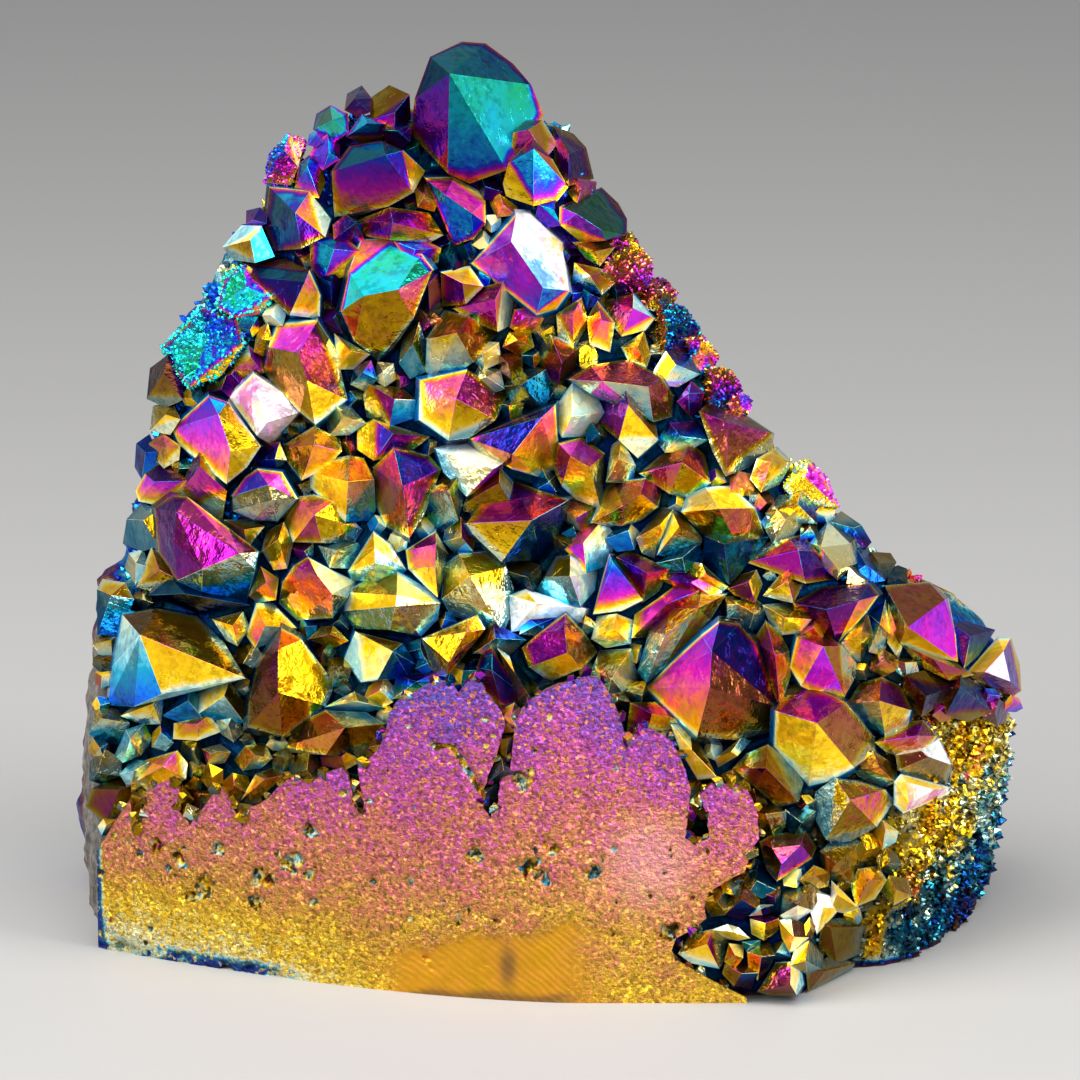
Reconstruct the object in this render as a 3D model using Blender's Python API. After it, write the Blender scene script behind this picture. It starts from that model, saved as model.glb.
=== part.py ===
"""Aura-coated amethyst druzy: a cluster of quartz points on its matrix, sawn flat below and in front.

The cluster grew as one piece, so the matrix, the sawn face and the crystals are one solid.
Crystals are laid out in seen millimetres, (u, v): across and up as the specimen shows from the
front, slightly from above. The rest is in metres, +Z up, on the sawn base.
"""

import math

import bmesh
import bpy
import numpy as np
from mathutils import Matrix, Vector, noise

MM = 0.001

# The viewpoint that the seen millimetres refer to.
VIEW_TILT = math.radians(14)
VIEW_DISTANCE = 1100.0
VIEW_MIDDLE = (-1.2, 57.9)

# Driving dimensions of the matrix, in millimetres.
BACK_DEPTH = 64.0
BACK_LEAN = 8.0
FACE_SETBACK = 24.0
FACE_FLAT = (4.0, 30.0)
FACE_LEFT = -57.6
FACE_THICKNESS = 13.0
RIGHT_SETBACK = 45.0
RIGHT_REACH = 27.0
LAYER_DEPTH = 7.0
SLOPE_DEPTH = 35.0
SLOPE_START, SLOPE_END = 25.0, 120.0
EDGE_ROUNDING = 10.0
CREVICE_DEPTH = 0.3
LEFT_BULGE = 2.6
BODY_TOP = 101.0
CAP_HEIGHT = 3.0
RING_POINTS = 36
LEVELS = 16
RIM_SPREAD = 0.22
ROOT_TAPER = 0.7
RIM_CORNERS = 5
LARGE_RIM_CORNERS = 7
LARGE_RISE = 4.0

# Left and right edge of the matrix, at its face and at its back: height, across.
LEFT_EDGE = ((0, -60), (8, -60.5), (20, -59.5), (30, -58.5), (42, -57.5), (44, -54), (52, -53),
             (60, -52), (70, -49.5), (76, -45.5), (82, -43), (89, -38), (96, -31.5), (102, -24))
LEFT_BACK = ((0, -59), (20, -59.5), (36, -58.5), (42, -56), (46, -52.5), (61, -49), (71, -46),
             (79, -40.5), (87, -35.5), (95, -29), (102, -21))
RIGHT_EDGE = ((0, 54), (4, 57), (12, 58.8), (22, 59), (33, 58), (40, 55.5), (44, 51), (48, 43),
              (50, 38.5), (56, 35), (60, 31.5), (65, 26.5), (71, 21.5), (77, 17), (83, 12.5),
              (89, 8.5), (96, 4), (102, 1))
RIGHT_BACK = ((0, 53), (12, 57), (24, 57), (33, 55), (37, 52), (40, 47), (43, 41), (47, 36.5),
              (52, 32.5), (57, 28.5), (62, 24), (70, 17.5), (80, 11), (88, 6.5), (95, 2.5), (102, -1))

# Left and right edge of the crystals, seen: up, across.
SEEN_LEFT = ((25, -58), (50, -56.5), (56, -53), (70, -51), (80, -49), (88, -43), (98, -38),
             (106, -33), (111, -29), (120, -16))
SEEN_RIGHT = ((25, 59), (40, 59), (46, 56), (52, 47), (57, 40), (65, 34.5), (74, 26), (83, 19),
              (92, 12.5), (98, 9), (105, 5), (112, 0), (120, -6))

# The upper rim of the sawn face, where the saw went through the crystals.
FACE_RIM = """-57.4 4, -56.6 19, -54.5 22.5, -52.5 25.4, -51.9 22, -51.2 22, -50.4 26.4, -48.6 27.6,
-46.9 28.2, -46.2 26.2, -46.8 24.6, -45 22.3, -43.2 24.6, -42 26.2, -41 27, -40 25.4, -38.4 22,
-37.6 24.4, -35.4 25.4, -33.4 27.6, -32 28.3, -30 27.4, -28.4 28.6, -26 29.4, -25.2 28.6,
-24.4 24.4, -23.4 23.4, -23.2 25, -24 29.4, -21.6 31.4, -20.6 33.4, -20 36.4, -19 37.8, -16 39.4,
-14 40.2, -12 40, -11.5 38.8, -10 40.4, -9 40.8, -7.6 38.4, -6 36.6, -5.5 34.8, -6.8 30.6,
-8.2 27, -8.4 24.4, -7.4 23.2, -6.6 24.2, -6.2 27.6, -4.9 29.4, -4.3 35.2, -3.4 36.8, -2 38.2,
0 39.4, 3 40.4, 5 41, 6.4 40.4, 7.5 38.8, 8.5 36.4, 9.3 34.2, 9.7 32.8, 10.4 33.3, 11.6 34.4,
13 34.1, 15 33, 16 31.4, 17 29, 17.6 27, 17.3 24, 17 20.6, 18 19.8, 20 20.6, 19.8 22.8, 18.8 26.2,
20.4 27.4, 22.4 27.4, 24.4 27.1, 25.4 25.4, 26 23.4, 26.2 20.6, 25 18.4, 24.4 16.4, 22 15.2,
20 14, 19.4 12, 19.6 10.6, 18 9.2, 15.8 8, 15.4 6.6, 16.6 4.4, 18 2, 19 -3, -57.4 -3"""

# Every crystal: how far its tips stand over its rim, its tips, and its rim, in seen millimetres.
CRYSTALS = (
    (8.0, "-12.8 113.6, -11.8 116.4",
     "-17 108.5, -17 113, -15 118.6, -11 120.3, -8 120.2, -4.5 117.5, -2 114.8, -0.6 111, -5.3 104, "
     "-10 102.3, -12.8 103.7"),
    (2.2, "-27.2 110.4",
     "-29.6 109.2, -29.2 111.2, -27.4 112.3, -25.2 111.2, -25 108.8, -27 107.6"),
    (2.4, "-22.8 110",
     "-25.5 108.3, -23.5 111.2, -20.5 109.9, -20.8 108.4, -23.5 107.4"),
    (6.0, "-20.5 106",
     "-27 98.2, -27.3 104, -25 107.2, -21 107.8, -18.3 106.6, -15.5 104, -17 101.3, -20 99.6, "
     "-24 98.4"),
    (2.0, "-30.3 104.6",
     "-31.9 102, -31.3 105, -30 106, -28.5 105, -28 102.5, -28.8 100.6, -31 100.8"),
    (2.2, "-33.2 106.6",
     "-35.5 102.5, -34.9 106, -32.6 108.5, -30.6 107.8, -31.4 104.5, -32.4 102.2"),
    (3.4, "-31.8 98.8",
     "-35.6 97, -34.3 94, -31 94.3, -28 95.8, -27.3 98, -30 101.5, -35 102"),
    (2.2, "-37.4 95.4",
     "-41 94.5, -38.5 97.3, -36 97.2, -34.3 93.3, -36.8 92.5, -39.5 92.9"),
    (2.6, "-19.6 97.6",
     "-24 97.9, -20 99.5, -15 98.8, -13.2 96, -15 95, -20 95.4, -23 95.9"),
    (4.0, "-13 101, -9.8 98.8",
     "-15.6 103.2, -12 103.3, -9 101.7, -8 100.3, -8 97.5, -9.5 95.6, -12 94.5, -13.9 99.2"),
    (4.0, "-2 106.8",
     "-5.9 102.4, -5.2 105, -2.2 108.3, 0.4 105.5, 2.4 102, 1 100.2, -2 99.6, -5.5 100.8"),
    (2.4, "-2.6 109.2",
     "-5 105.8, -4.6 108.8, -3 110.4, -0.8 110.4, 1 107.4, -0.4 105.6"),
    (3.0, "2.4 106.2",
     "0.3 109.9, 3 108.7, 4.6 107, 5.6 103, 2.4 102.1, 0.6 105"),
    (3.6, "3.4 98.6, 6.5 96.7",
     "1.2 99.6, 6.5 102, 8.6 100, 9.7 98, 9.7 96, 7 95.3, 4 95, 1.1 97.4"),
    (5.2, "-4.8 95.2, -0.8 89.4",
     "-9.8 92.5, -6 97.5, -4.2 98.6, -2.4 98.6, 1.6 95, 1.8 91, 2.4 89, 0.8 86.8, -1.6 86.1, -4.9 90"),
    (1.6, "-3 85.8",
     "-5 84.5, -4.4 86.7, -2 87.2, -0.7 85.6, -1.6 83.9, -3.8 83.4"),
    (3.4, "-30.6 90.2",
     "-38 92.4, -33 93, -30 91.6, -28.6 88.5, -28.7 85.5, -32.5 86, -35.5 88.8, -37.6 90.9"),
    (2.6, "-38 89.6",
     "-41.6 87, -40.6 91, -38 92.4, -35.4 90.8, -34.6 88, -36.5 86, -39.5 85.6"),
    (4.0, "-43 82.6",
     "-48.4 82, -45.2 84.9, -43.5 87, -39 85.5, -38 82.5, -41 78.4, -45 76.9, -47 79.2"),
    (2.6, "-48.3 78.8",
     "-50.4 75.5, -50 79.4, -47.6 81.2, -45.8 78.5, -45.8 75.4, -48 74.4"),
    (5.0, "-41.4 73.6, -40 69",
     "-47.2 71.8, -42.6 76, -40.2 75.2, -36 69.6, -37.8 66.9, -40.2 64.9, -43.5 67.8, -46.3 69.7"),
    (3.4, "-36.4 76.2, -35.3 72.6",
     "-40.1 75.7, -37 78.8, -33.5 76.4, -31.4 73.8, -34.8 69.8, -36.6 70.9, -38.2 73.3"),
    (5.4, "-31.3 81.4, -30.4 77.8",
     "-35.9 79, -35.2 82, -34 85, -29 85.4, -26.8 82, -25.2 75.4, -28 74.2, -29.3 72.2, -31.2 73.8"),
    (1.8, "-24.9 81.5",
     "-26.9 83.7, -22.4 81.1, -24.5 79.2, -26.6 79.2"),
    (3.2, "-29.4 69.8",
     "-34 69.3, -29.4 72.2, -26.2 70.6, -25.9 69, -28 66.8, -31 65.3"),
    (2.0, "-25.7 73.3",
     "-28.1 73, -27 75.2, -25 74.8, -22.9 72.5, -25 71, -27.5 70.9"),
    (1.7, "-47.9 69.4",
     "-50.1 70, -48.4 71.3, -46.1 69.7, -46.3 67.9, -48.2 66.8, -49.8 68.4"),
    (2.0, "-50.5 68.8",
     "-51.9 67, -51.7 70, -50 71.2, -49 69, -49.5 66.3, -51 65.4"),
    (1.8, "-48 73.6",
     "-50 71.5, -49.6 74.7, -47.2 75.2, -46.1 73, -47.4 71"),
    (5.2, "-23.2 88.4, -19 89.2",
     "-26.2 86.5, -25.1 91.5, -23.5 95.4, -20 95.4, -16 93.6, -14.6 91.6, -17 88, -17 85.5, "
     "-19.5 81.8, -21.5 80.1, -24.5 82.8"),
    (1.8, "-16.8 94.2",
     "-19.6 95.3, -16.5 95.8, -13.5 94.4, -13.9 92.5, -17.5 92.2"),
    (1.8, "-15.2 89.8",
     "-17 88, -16.1 91.3, -14 91.2, -13.3 88.4, -15 86.4"),
    (2.4, "-10.9 90",
     "-13.6 91.4, -10 92.2, -8.2 89.6, -10.5 87.3, -13.4 87.1"),
    (3.2, "-6.8 88",
     "-12.1 86.8, -8.6 89.5, -5.8 90.2, -4.5 88, -4.9 84.7, -6.5 83.9, -9.5 85.1"),
    (4.2, "-11.6 83.8",
     "-15.6 79, -15.4 83, -13.1 86.7, -10 85.9, -6.4 83.8, -9.5 80.1, -12 78.4, -14.6 77.6"),
    (1.8, "-17.1 82.4",
     "-18.9 80, -18.3 84, -16.3 85.2, -15.2 82, -15.5 78.8, -17.4 78"),
    (1.6, "-8.2 81.3",
     "-10 80.6, -9 82.8, -6.3 82.6, -6 80.1, -8.2 79.1"),
    (1.5, "-7.9 78.3",
     "-9.9 77.5, -8.9 79.7, -6.1 79.2, -5.6 76.8, -7.8 76"),
    (4.4, "-11.7 75.6",
     "-16.2 77.9, -10.3 79.2, -5.1 76.1, -6.7 72.9, -10 70.6, -12.7 70.3, -16.4 72.9"),
    (2.6, "-19.4 75.5",
     "-23.4 76, -22.6 77.4, -18.5 77, -16.7 75.4, -16.9 73.1, -20 72.1, -22.9 73.2"),
    (2.2, "-19.6 71.2",
     "-24.1 72, -22 73, -14.9 70.8, -17 69.1, -22 67.8, -24.1 69.2"),
    (4.6, "-1 73.2, -4.6 68.6",
     "-10.1 70.6, 0.7 74.9, 1.1 70, 1 66.9, -1.5 65.8, -4.8 66.8, -9 69"),
    (3.2, "-7 66.8",
     "-14.3 69.3, -10 70, -5.7 67.5, -6.1 65.7, -10.4 63.3, -13.3 66.4"),
    (5.0, "-18.4 64.6",
     "-22.1 67, -19.5 69.5, -15 68.5, -13.5 66.8, -14.9 63.2, -15.7 60.9, -17.5 58.1, -20.5 59.6, "
     "-21.9 62.5"),
    (3.2, "-12.6 64.2",
     "-15 63.8, -13 66.5, -11.2 66.2, -10.7 63, -11.4 60.3, -13.5 58.8, -15.9 61"),
    (4.2, "-25.2 65.2",
     "-30.1 66.5, -27.8 68, -25 68.5, -23.2 68.2, -21.9 65.5, -21.7 61.5, -22.5 60.3, -25.5 60.1, "
     "-28 62.6, -29.9 64.4"),
    (3.6, "-29.4 61",
     "-33.1 60.3, -31.7 63.3, -29.5 63.6, -27 62.8, -23.3 59.2, -24.3 57.6, -28.5 57.5, -32.1 57.6"),
    (2.0, "-26.6 56.6",
     "-28.9 57.2, -26.5 58.2, -23.9 57.6, -23.3 56, -25 54.3, -27.5 54.4"),
    (4.4, "-29 53.4, -27.2 51.2",
     "-33.9 50, -33.4 52.6, -32 54.7, -30.2 55.8, -26.8 54, -24.1 52.7, -25.3 50.7, -27.1 48.1, "
     "-31.5 47.8"),
    (3.2, "-21.9 56.8, -21.8 55",
     "-22 59, -19.9 57.3, -17.9 54.2, -19 52.8, -21.8 52.6, -24.7 52.8, -25.2 54, -23.6 56.6"),
    (3.4, "-14.2 57.4, -14.3 54.6",
     "-18 56.6, -14.2 59, -12.4 56, -13.4 53, -14 50.7, -15.5 52, -17.7 54.3"),
    (5.0, "-19.1 51, -19.3 49.6",
     "-25.5 51.4, -22.5 53.2, -19 54, -15 51.7, -13.6 50, -13.9 48, -16 45.8, -20 46.6, -24.5 46.8, "
     "-25.7 49"),
    (4.8, "-10 53.4",
     "-13.4 54.7, -11.3 56.2, -8 56.5, -5.4 54.6, -4.4 52, -4.9 48.2, -5.8 46.2, -8.5 47.6, "
     "-12.5 48.6, -13.5 50.5"),
    (5.4, "-2.2 60.4",
     "-10.4 60, -8.6 62.4, -4.6 65.3, 2.4 62.9, 1.1 58, -1 55.3, -6 55.1, -9.6 58.6"),
    (2.6, "-6.3 65",
     "-10.8 62.4, -10 64.2, -6.2 67, -4.1 64.6, -4.2 61.4, -8.5 60.9, -10.9 61.5"),
    (3.6, "2.6 53.4",
     "-2 51.4, -0.6 53.3, 0.8 55.9, 2.6 56, 6 53.9, 5.7 51.6, 3.9 49.6, 0 50.1"),
    (1.8, "-1.6 50",
     "-5.1 51, -3 51.8, 2 50, 4.6 49.3, 4 47.6, 0 48, -3 48.4, -4.8 46.4"),
    (0.9, "-1.5 47.3",
     "-3.4 48.6, 1.2 48.4, 0.8 45.8, -3.8 46.1"),
    (4.4, "1.9 46.6, 2.2 43.8",
     "-3.5 44.4, -1.2 46.4, 2 48.7, 4.4 46.3, 6.1 43.9, 4 41.8, 0 40.1, -2.6 42"),
    (2.8, "-6.8 45.6",
     "-9.9 46, -7 47.6, -4.4 46, -2.9 45.4, -5 43.5, -7.5 44.4, -9.6 43.7"),
    (3.6, "-10.4 46.4, -12.6 42.6",
     "-16 45.6, -9 48.6, -8 46.8, -9.8 44.5, -12.8 40.8, -14.4 41, -15.2 43.9"),
    (3.0, "-7.2 41.6",
     "-9.1 42, -8.2 44.6, -7.2 44.4, -3.9 39, -4.1 37.2, -5.9 37, -9 39.7"),
    (2.0, "-4.4 41.4",
     "-6.6 44.5, -5 43.4, -1.8 39.9, -2.2 37.8, -3.8 37.1"),
    (1.6, "-16.6 40.2",
     "-19.7 38, -19.2 41, -14 41.4, -12 40.4, -14.5 38.6"),
    (4.2, "-19.6 44",
     "-25.7 43, -24.3 46.5, -20 45.2, -18.4 45, -16.6 42.3, -17.4 40.6, -21.5 40.4, -23.6 40.1"),
    (6.0, "-33.9 44.2, -34 38.8",
     "-37.8 34.4, -37.7 37.5, -36.6 42, -33.5 46.9, -31 45.6, -28 41.6, -26.9 39.5, -27.9 37.1, "
     "-32 35.3, -33.5 33.3"),
    (8.0, "-51.2 46",
     "-55.3 37.2, -54.8 42, -53.5 48.7, -49 49.4, -44 48.5, -40.5 45, -37.9 40.6, -43 39.6, "
     "-48.5 38.6, -52 37"),
    (2.0, "-49.6 37.4",
     "-53.7 35.9, -50 38.7, -48.1 38.7, -48.6 34.9, -50.8 34.8"),
    (2.4, "-45.2 37.8",
     "-48.5 35.9, -45 39.4, -43.4 38.1, -43.4 35.7, -46 35"),
    (3.0, "-40.7 38.4",
     "-44.1 38.7, -40 40.4, -37.7 37, -38.1 35, -41.8 35.4, -43.9 36.2"),
    (1.4, "-44 34.9",
     "-47 35, -42.5 36, -40.8 34, -44 32.8, -47.1 33"),
    (4.6, "-25.6 34.4",
     "-33.4 32, -31 35.4, -28 36.6, -23 36.4, -20.6 34.9, -20.6 33, -23 30.4, -28 31, -33 31.4"),
    (1.6, "-26 30.8",
     "-28.8 31.3, -25 31.6, -23.6 30.2, -25.5 29.1, -28.5 29.7"),
    (1.8, "-24 37.8",
     "-28.2 37, -24.4 39, -20.6 36.9, -24 36.1"),
    (2.4, "-39.6 47.2",
     "-42.2 48, -38.3 49, -37.4 47, -39 44.6, -40.4 45.3"),
    (3.0, "-35.6 47.2",
     "-38 46, -36.7 50, -34.7 50.1, -31.6 46.9, -34 45.1, -36.8 44.4"),
    (2.4, "-54.8 51",
     "-56.6 51.8, -55.9 53.1, -53 52.6, -51.9 50.5, -53.5 45.8, -56.6 46"),
    (2.6, "-50.8 60.4",
     "-53.4 57.4, -52.9 60.5, -51 62.7, -48.9 61.6, -48.9 57, -51 56.4"),
    (2.4, "-48.8 54.2",
     "-51.7 52, -49.8 57.1, -47.8 55.5, -46.2 52.8, -49.5 51.4"),
    (5.0, "-46.6 61.4, -38.8 56.2, -43.4 54.2, -47 57.6",
     "-49.4 61.9, -47.2 63.5, -45.4 63.3, -40 59.5, -36.3 56.4, -36.7 54.2, -37.9 49.9, -43.5 51.4, "
     "-46.6 52.8, -48.9 56.4"),
    (3.0, "-45.6 51.2",
     "-50.2 51, -47.5 53.2, -43 52.2, -37.3 49.7, -43.5 48.6"),
    (3.0, "-49.4 65.2",
     "-51.8 64, -50.6 66.2, -48.2 67.8, -45 65.3, -45.8 63.2, -49 62.2, -51.4 62.7"),
    (3.2, "-43.7 67",
     "-45.2 66.8, -43.8 68.9, -42.4 68.2, -40.3 64, -40.9 60.2, -44 61.8, -46.2 64"),
    (3.8, "-35.2 64.8, -34.6 62.9",
     "-39.7 63.4, -38.1 65.7, -36.5 66.8, -33.4 66.4, -31.4 63, -34 60.2, -37 60.4, -39.6 61.5"),
    (2.0, "-38.2 59.2",
     "-40.7 60.4, -37 60.4, -35.6 59.6, -37.8 56.8, -39.8 57.9"),
    (2.6, "-33.9 58",
     "-35.4 59, -33.2 60.2, -32 57.5, -32.8 54.3, -34.5 54.1, -36 56.5"),
    (2.2, "-35.4 52.6",
     "-37.6 50.9, -36.1 54.6, -33.8 53.1, -34.2 50.4, -36.5 50"),
    (1.9, "5.8 94",
     "2.9 95.1, 6.5 95.4, 8.2 94.5, 6.3 92.1, 4.5 93.1"),
    (1.8, "5.1 90.9",
     "3.1 92.6, 7 91.7, 8.2 90, 6.5 88.5, 2.8 89.9"),
    (2.0, "2.9 86",
     "0.8 86.1, 4 88.2, 5 85, 3 81.8, 1 83.4"),
    (2.0, "6.5 85.4",
     "4.6 85.6, 6 87.8, 8.2 85, 7.6 81.3, 5 82.3"),
    (2.8, "10.4 86.9",
     "7 87.9, 10.5 88.7, 13.2 85.6, 12 84.1, 9 83.3, 7.2 85.4"),
    (2.0, "11 82",
     "8.9 82, 11.8 84, 12.7 81, 12.1 79.4, 9.9 80.1"),
    (2.2, "15.8 79.8",
     "12.9 79, 14.5 81.6, 17.5 81.2, 18.8 78.6, 16 77, 13.7 77.2"),
    (5.0, "6.6 77.8, 12.4 77",
     "2.3 78, 5 79.8, 10 80.5, 14 78.2, 15.5 76, 15.3 73.3, 13 72.6, 10 75, 5 76.2"),
    (4.6, "9.8 74.8",
     "6 76.1, 9.8 76.6, 13.2 73, 13.6 70.4, 11 68.1, 8.6 70.4, 6.2 72.5"),
    (4.4, "22.4 72.6",
     "18.6 74, 20 75.4, 25 73.2, 28 71.2, 27.7 69.4, 25 67, 22 65.8, 20.3 69"),
    (2.2, "16.3 70.9",
     "13.3 70.3, 15 72.6, 18.2 72.8, 19.9 70.4, 17 68.8, 14.4 68.8"),
    (3.4, "16.6 67.6",
     "11.1 66.2, 14 68.6, 17.5 70, 19.4 68.6, 20.2 65, 17.5 63, 15 63.6, 13.8 65.1"),
    (2.2, "8.6 68",
     "7 65.1, 7.7 69.7, 9 70.7, 10.8 67.2, 10.4 65"),
    (4.2, "2.6 68.4, 5 67",
     "0.4 67, 1.1 70, 4 70.8, 6.9 68.7, 6.8 65.5, 6.4 61.7, 3.2 63, 1.5 64.6"),
    (2.4, "27.6 67.6",
     "25 65.5, 25.9 68.1, 28.4 69.6, 30.4 67.6, 28.7 64.8, 26.4 63.8"),
    (3.0, "32 65.8",
     "29.3 64.3, 30.6 67.2, 32.4 67.8, 34.6 65.4, 36.1 61.9, 33.5 62.2, 30.5 63"),
    (4.2, "11.4 63.8, 9.2 62.2",
     "5.1 60, 6.9 64.3, 8 65.2, 12 65.6, 14.2 64.8, 13.6 62, 11.5 60.3, 9 59.6"),
    (2.4, "13.8 59.8",
     "10.8 58.1, 14 62, 15.5 61.8, 14.3 58.6, 13 55.6, 11.5 56.2"),
    (3.0, "16.2 59.6",
     "13.4 56, 15.2 61.8, 17 60.8, 19.2 58, 18.6 56.6, 15.5 55.6"),
    (4.4, "21.2 61.8",
     "16.4 61.4, 17.1 63.4, 19.5 64.5, 22.7 64.7, 25.7 61.9, 27 58.3, 23 58.2, 19.1 58.4"),
    (4.0, "21.8 57.4",
     "19.4 58.4, 21.5 59.2, 27.5 58.3, 25.7 56, 22.5 52.2, 19.9 53.9, 19.1 56.2"),
    (1.8, "16.6 55.7",
     "12.9 54.9, 15.5 56.2, 18.6 57.4, 19.4 55.5, 17 53.8, 14.4 53.8"),
    (1.6, "19.6 53.6",
     "16.3 55.5, 19 55, 22.4 52, 21.2 51.1, 18.4 52.9"),
    (2.4, "29.5 60.5",
     "26.4 60.2, 28 62.2, 31.1 61.9, 31.7 59.8, 29.8 57.7, 27.9 57.4"),
    (2.4, "31 62.4",
     "26.9 61.2, 28.6 63.4, 31.4 64.2, 33.6 62, 33.5 59.9, 29.8 60"),
    (4.0, "31.1 56.6",
     "24.5 55.1, 27 57.6, 29.8 58.1, 31.6 58.6, 33.4 56.5, 36 53.1, 32 52.4, 28 54.6"),
    (3.0, "33.9 57, 37.6 57.4, 36.1 54.2",
     "32.5 57.6, 34.8 60.3, 38.5 58.2, 38.5 55, 36 52.8, 34.1 54.5"),
    (1.8, "38 59.4",
     "35 60.2, 36.4 61.6, 39 59.8, 40.3 57.6, 39.6 56.8, 37 58.4"),
    (4.6, "38.6 50.3, 34.6 49.2",
     "30.4 50, 34 52, 40 52.5, 41.2 51, 39.7 48.9, 36 44.8, 33.3 47, 30.6 48.7"),
    (5.4, "47.6 50.6, 46.2 47.2",
     "41.8 52.3, 47.5 52.7, 49.9 50.7, 50.8 46, 51.1 42.6, 47 43.4, 43.8 45, 42.8 48"),
    (2.4, "48 43",
     "43.9 45, 50.9 42.6, 53.2 41, 50 40.3, 46 42.2"),
    (2.6, "39 46.4",
     "36.4 45, 39.7 49.2, 40.5 46, 38.8 42.6, 37.6 43.2"),
    (2.4, "41.3 47.4",
     "39.7 48.8, 42 50.4, 42.7 46, 41.6 43.4, 39.9 43.9"),
    (2.0, "43.3 46.8",
     "42.3 50, 43.7 48.6, 44.5 45.5, 43.6 43, 42.2 45"),
    (2.6, "52.6 45.8",
     "50.3 47.5, 52 47.8, 55.8 46.7, 53.7 43.5, 51.8 41.8, 50.7 44.3"),
    (3.6, "56.7 44, 57.6 40.2, 54.4 41.4",
     "52.1 41.4, 56 45.8, 57.7 45.8, 58.8 42.4, 59 39, 57.6 38.1, 54.5 39.8, 53 40.4"),
    (4.2, "34.2 44.6",
     "30 42, 30.9 45.8, 34.2 46.4, 36.5 44.7, 38.4 42.5, 38.2 40.7, 36.9 38.3, 34.5 38, 31.4 39.6"),
    (7.0, "33.4 35",
     "28.2 36.6, 30 39.7, 31.7 40.1, 37.1 37.6, 40.6 33.3, 40.8 31.4, 38.1 29.4, 35 27.7, "
     "32.4 27.1, 28 32"),
    (7.4, "20.3 44, 20 39.4",
     "12 39.4, 15.2 42.5, 19 46, 21.2 47.7, 23.7 47.4, 25.8 45, 27.4 41, 28.6 37, 28 34, 23.5 32.8, "
     "18.4 33.2, 17.6 36"),
    (3.4, "14.4 46, 18.6 49.4",
     "11 41.5, 12.4 46.6, 15 49.4, 19 51.4, 22.2 51.2, 20.1 48, 16.5 44.8, 14 41.6, 12 39.9"),
    (2.6, "14.6 49.9",
     "10.2 45.6, 10.6 48.6, 14 50.9, 17.4 53.6, 19.2 51.8, 15 49.6, 12.8 45.8"),
    (3.6, "7.9 55",
     "5.4 48.6, 6.3 52, 7.5 56.1, 8.5 56, 10.1 53, 11.8 50.4, 9 49"),
    (3.0, "12.2 53.8",
     "8.3 55.8, 10 56.6, 12 55.6, 15 54.3, 13.7 51.5, 11.6 50, 9.9 52.6"),
    (2.4, "8 46.9",
     "5.2 45.5, 5.9 48.4, 8.4 48.7, 10.5 47.9, 10.2 44.9, 7 44.4"),
    (1.6, "17.6 52.6",
     "13.6 53, 15.4 54.8, 19 53.2, 22.2 52.4, 21 50.4, 17.8 51.2"),
    (2.2, "24.9 52.7",
     "22.2 51.8, 24 53.6, 25.9 54.2, 26.7 52.4, 25.7 50, 23.1 51"),
    (2.6, "29.8 52.8",
     "26.6 50.9, 29.9 55, 31.7 52.3, 30.5 50, 28 50.8"),
    (2.4, "29.4 48.2",
     "26.6 49.8, 30.9 50.2, 32.8 48, 31.5 46.2, 29.1 46, 27.6 47.3"),
    (3.0, "28.2 43.4",
     "25.4 45.4, 27 47.8, 28.7 46.5, 30 44, 30.2 41, 28.8 36.8, 27.7 39.5, 26.9 42"),
    (4.4, "41.2 37.8",
     "37.2 37.4, 38.7 40, 41.5 40.8, 44 39.5, 45.2 36.6, 44.7 34.2, 42 33.2, 39.5 34.8"),
    (3.0, "46 33.4",
     "40.6 32.6, 44.4 33.8, 45.1 35.2, 46.7 35.4, 48.5 33.4, 47 31.6, 44 30.8, 42 31.4"),
    (3.0, "47.4 30.8",
     "43.2 31, 46.5 31.6, 48.4 33.6, 50.2 29.8, 49.7 27.4, 45 28.1, 43.5 29.1"),
    (3.0, "44.6 27.6, 48.2 26.7, 44.9 25",
     "43 27.7, 43.9 28.7, 50 27, 49.5 26, 44.2 23.7, 43 24.8"),
    (2.6, "41.2 29.5",
     "37.8 29.3, 40.4 31.6, 43.5 29.6, 43.3 27.6, 41.6 26.8, 38.7 28.2"),
    (4.4, "37.6 25.4",
     "33.2 26.5, 35.6 28.2, 38.5 27.8, 41.9 26.7, 43.2 25.4, 40.9 22, 37.6 20.2, 34.5 20.4, "
     "32.8 23.6"),
    (4.6, "27 29.4",
     "22.8 29.4, 24.5 31.2, 27.3 32.4, 30.8 29.7, 31.8 27.6, 31.1 25.2, 28.6 24.4, 25.5 27"),
    (3.0, "17.8 31.6",
     "15.1 34.9, 17.5 34.8, 19.6 31, 21 28.2, 18.5 27.9, 16.2 31.8"),
    (1.8, "12.8 36.2",
     "9.5 33.1, 10 37.6, 16 37.8, 17.6 35.2, 15 34.2, 12.4 34.6"),
    (1.6, "22.7 31.4",
     "20.6 30.6, 24 33.2, 25.2 32.8, 23.5 30.9, 21 29.4"),
    (2.8, "27.8 19.4, 31.4 19.8, 29 17.4",
     "26.2 20.2, 28 21.2, 32 21.6, 33.4 19.6, 32.8 18.1, 29.6 16.4, 28.4 15.2, 27 16.8"),
    (2.2, "31 13.2",
     "28.2 12.6, 29.5 14.6, 33.6 14.8, 34.4 13, 32.4 11.2, 29.3 10.8"),
    (2.0, "34.2 11.4",
     "32.2 11, 34.6 13.8, 36.2 12, 34.7 9.7, 33.2 8.4"),
    (1.9, "36.3 12.8",
     "35 11.3, 35.2 15.2, 38.8 11.8, 36.4 10.6"),
    (2.2, "31 8.8",
     "28.6 8.6, 29.5 11.2, 32.5 10.8, 33.4 8.8, 32.3 7.2, 30.2 5.6, 28.8 7.1"),
    (2.2, "39.9 15.4",
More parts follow.
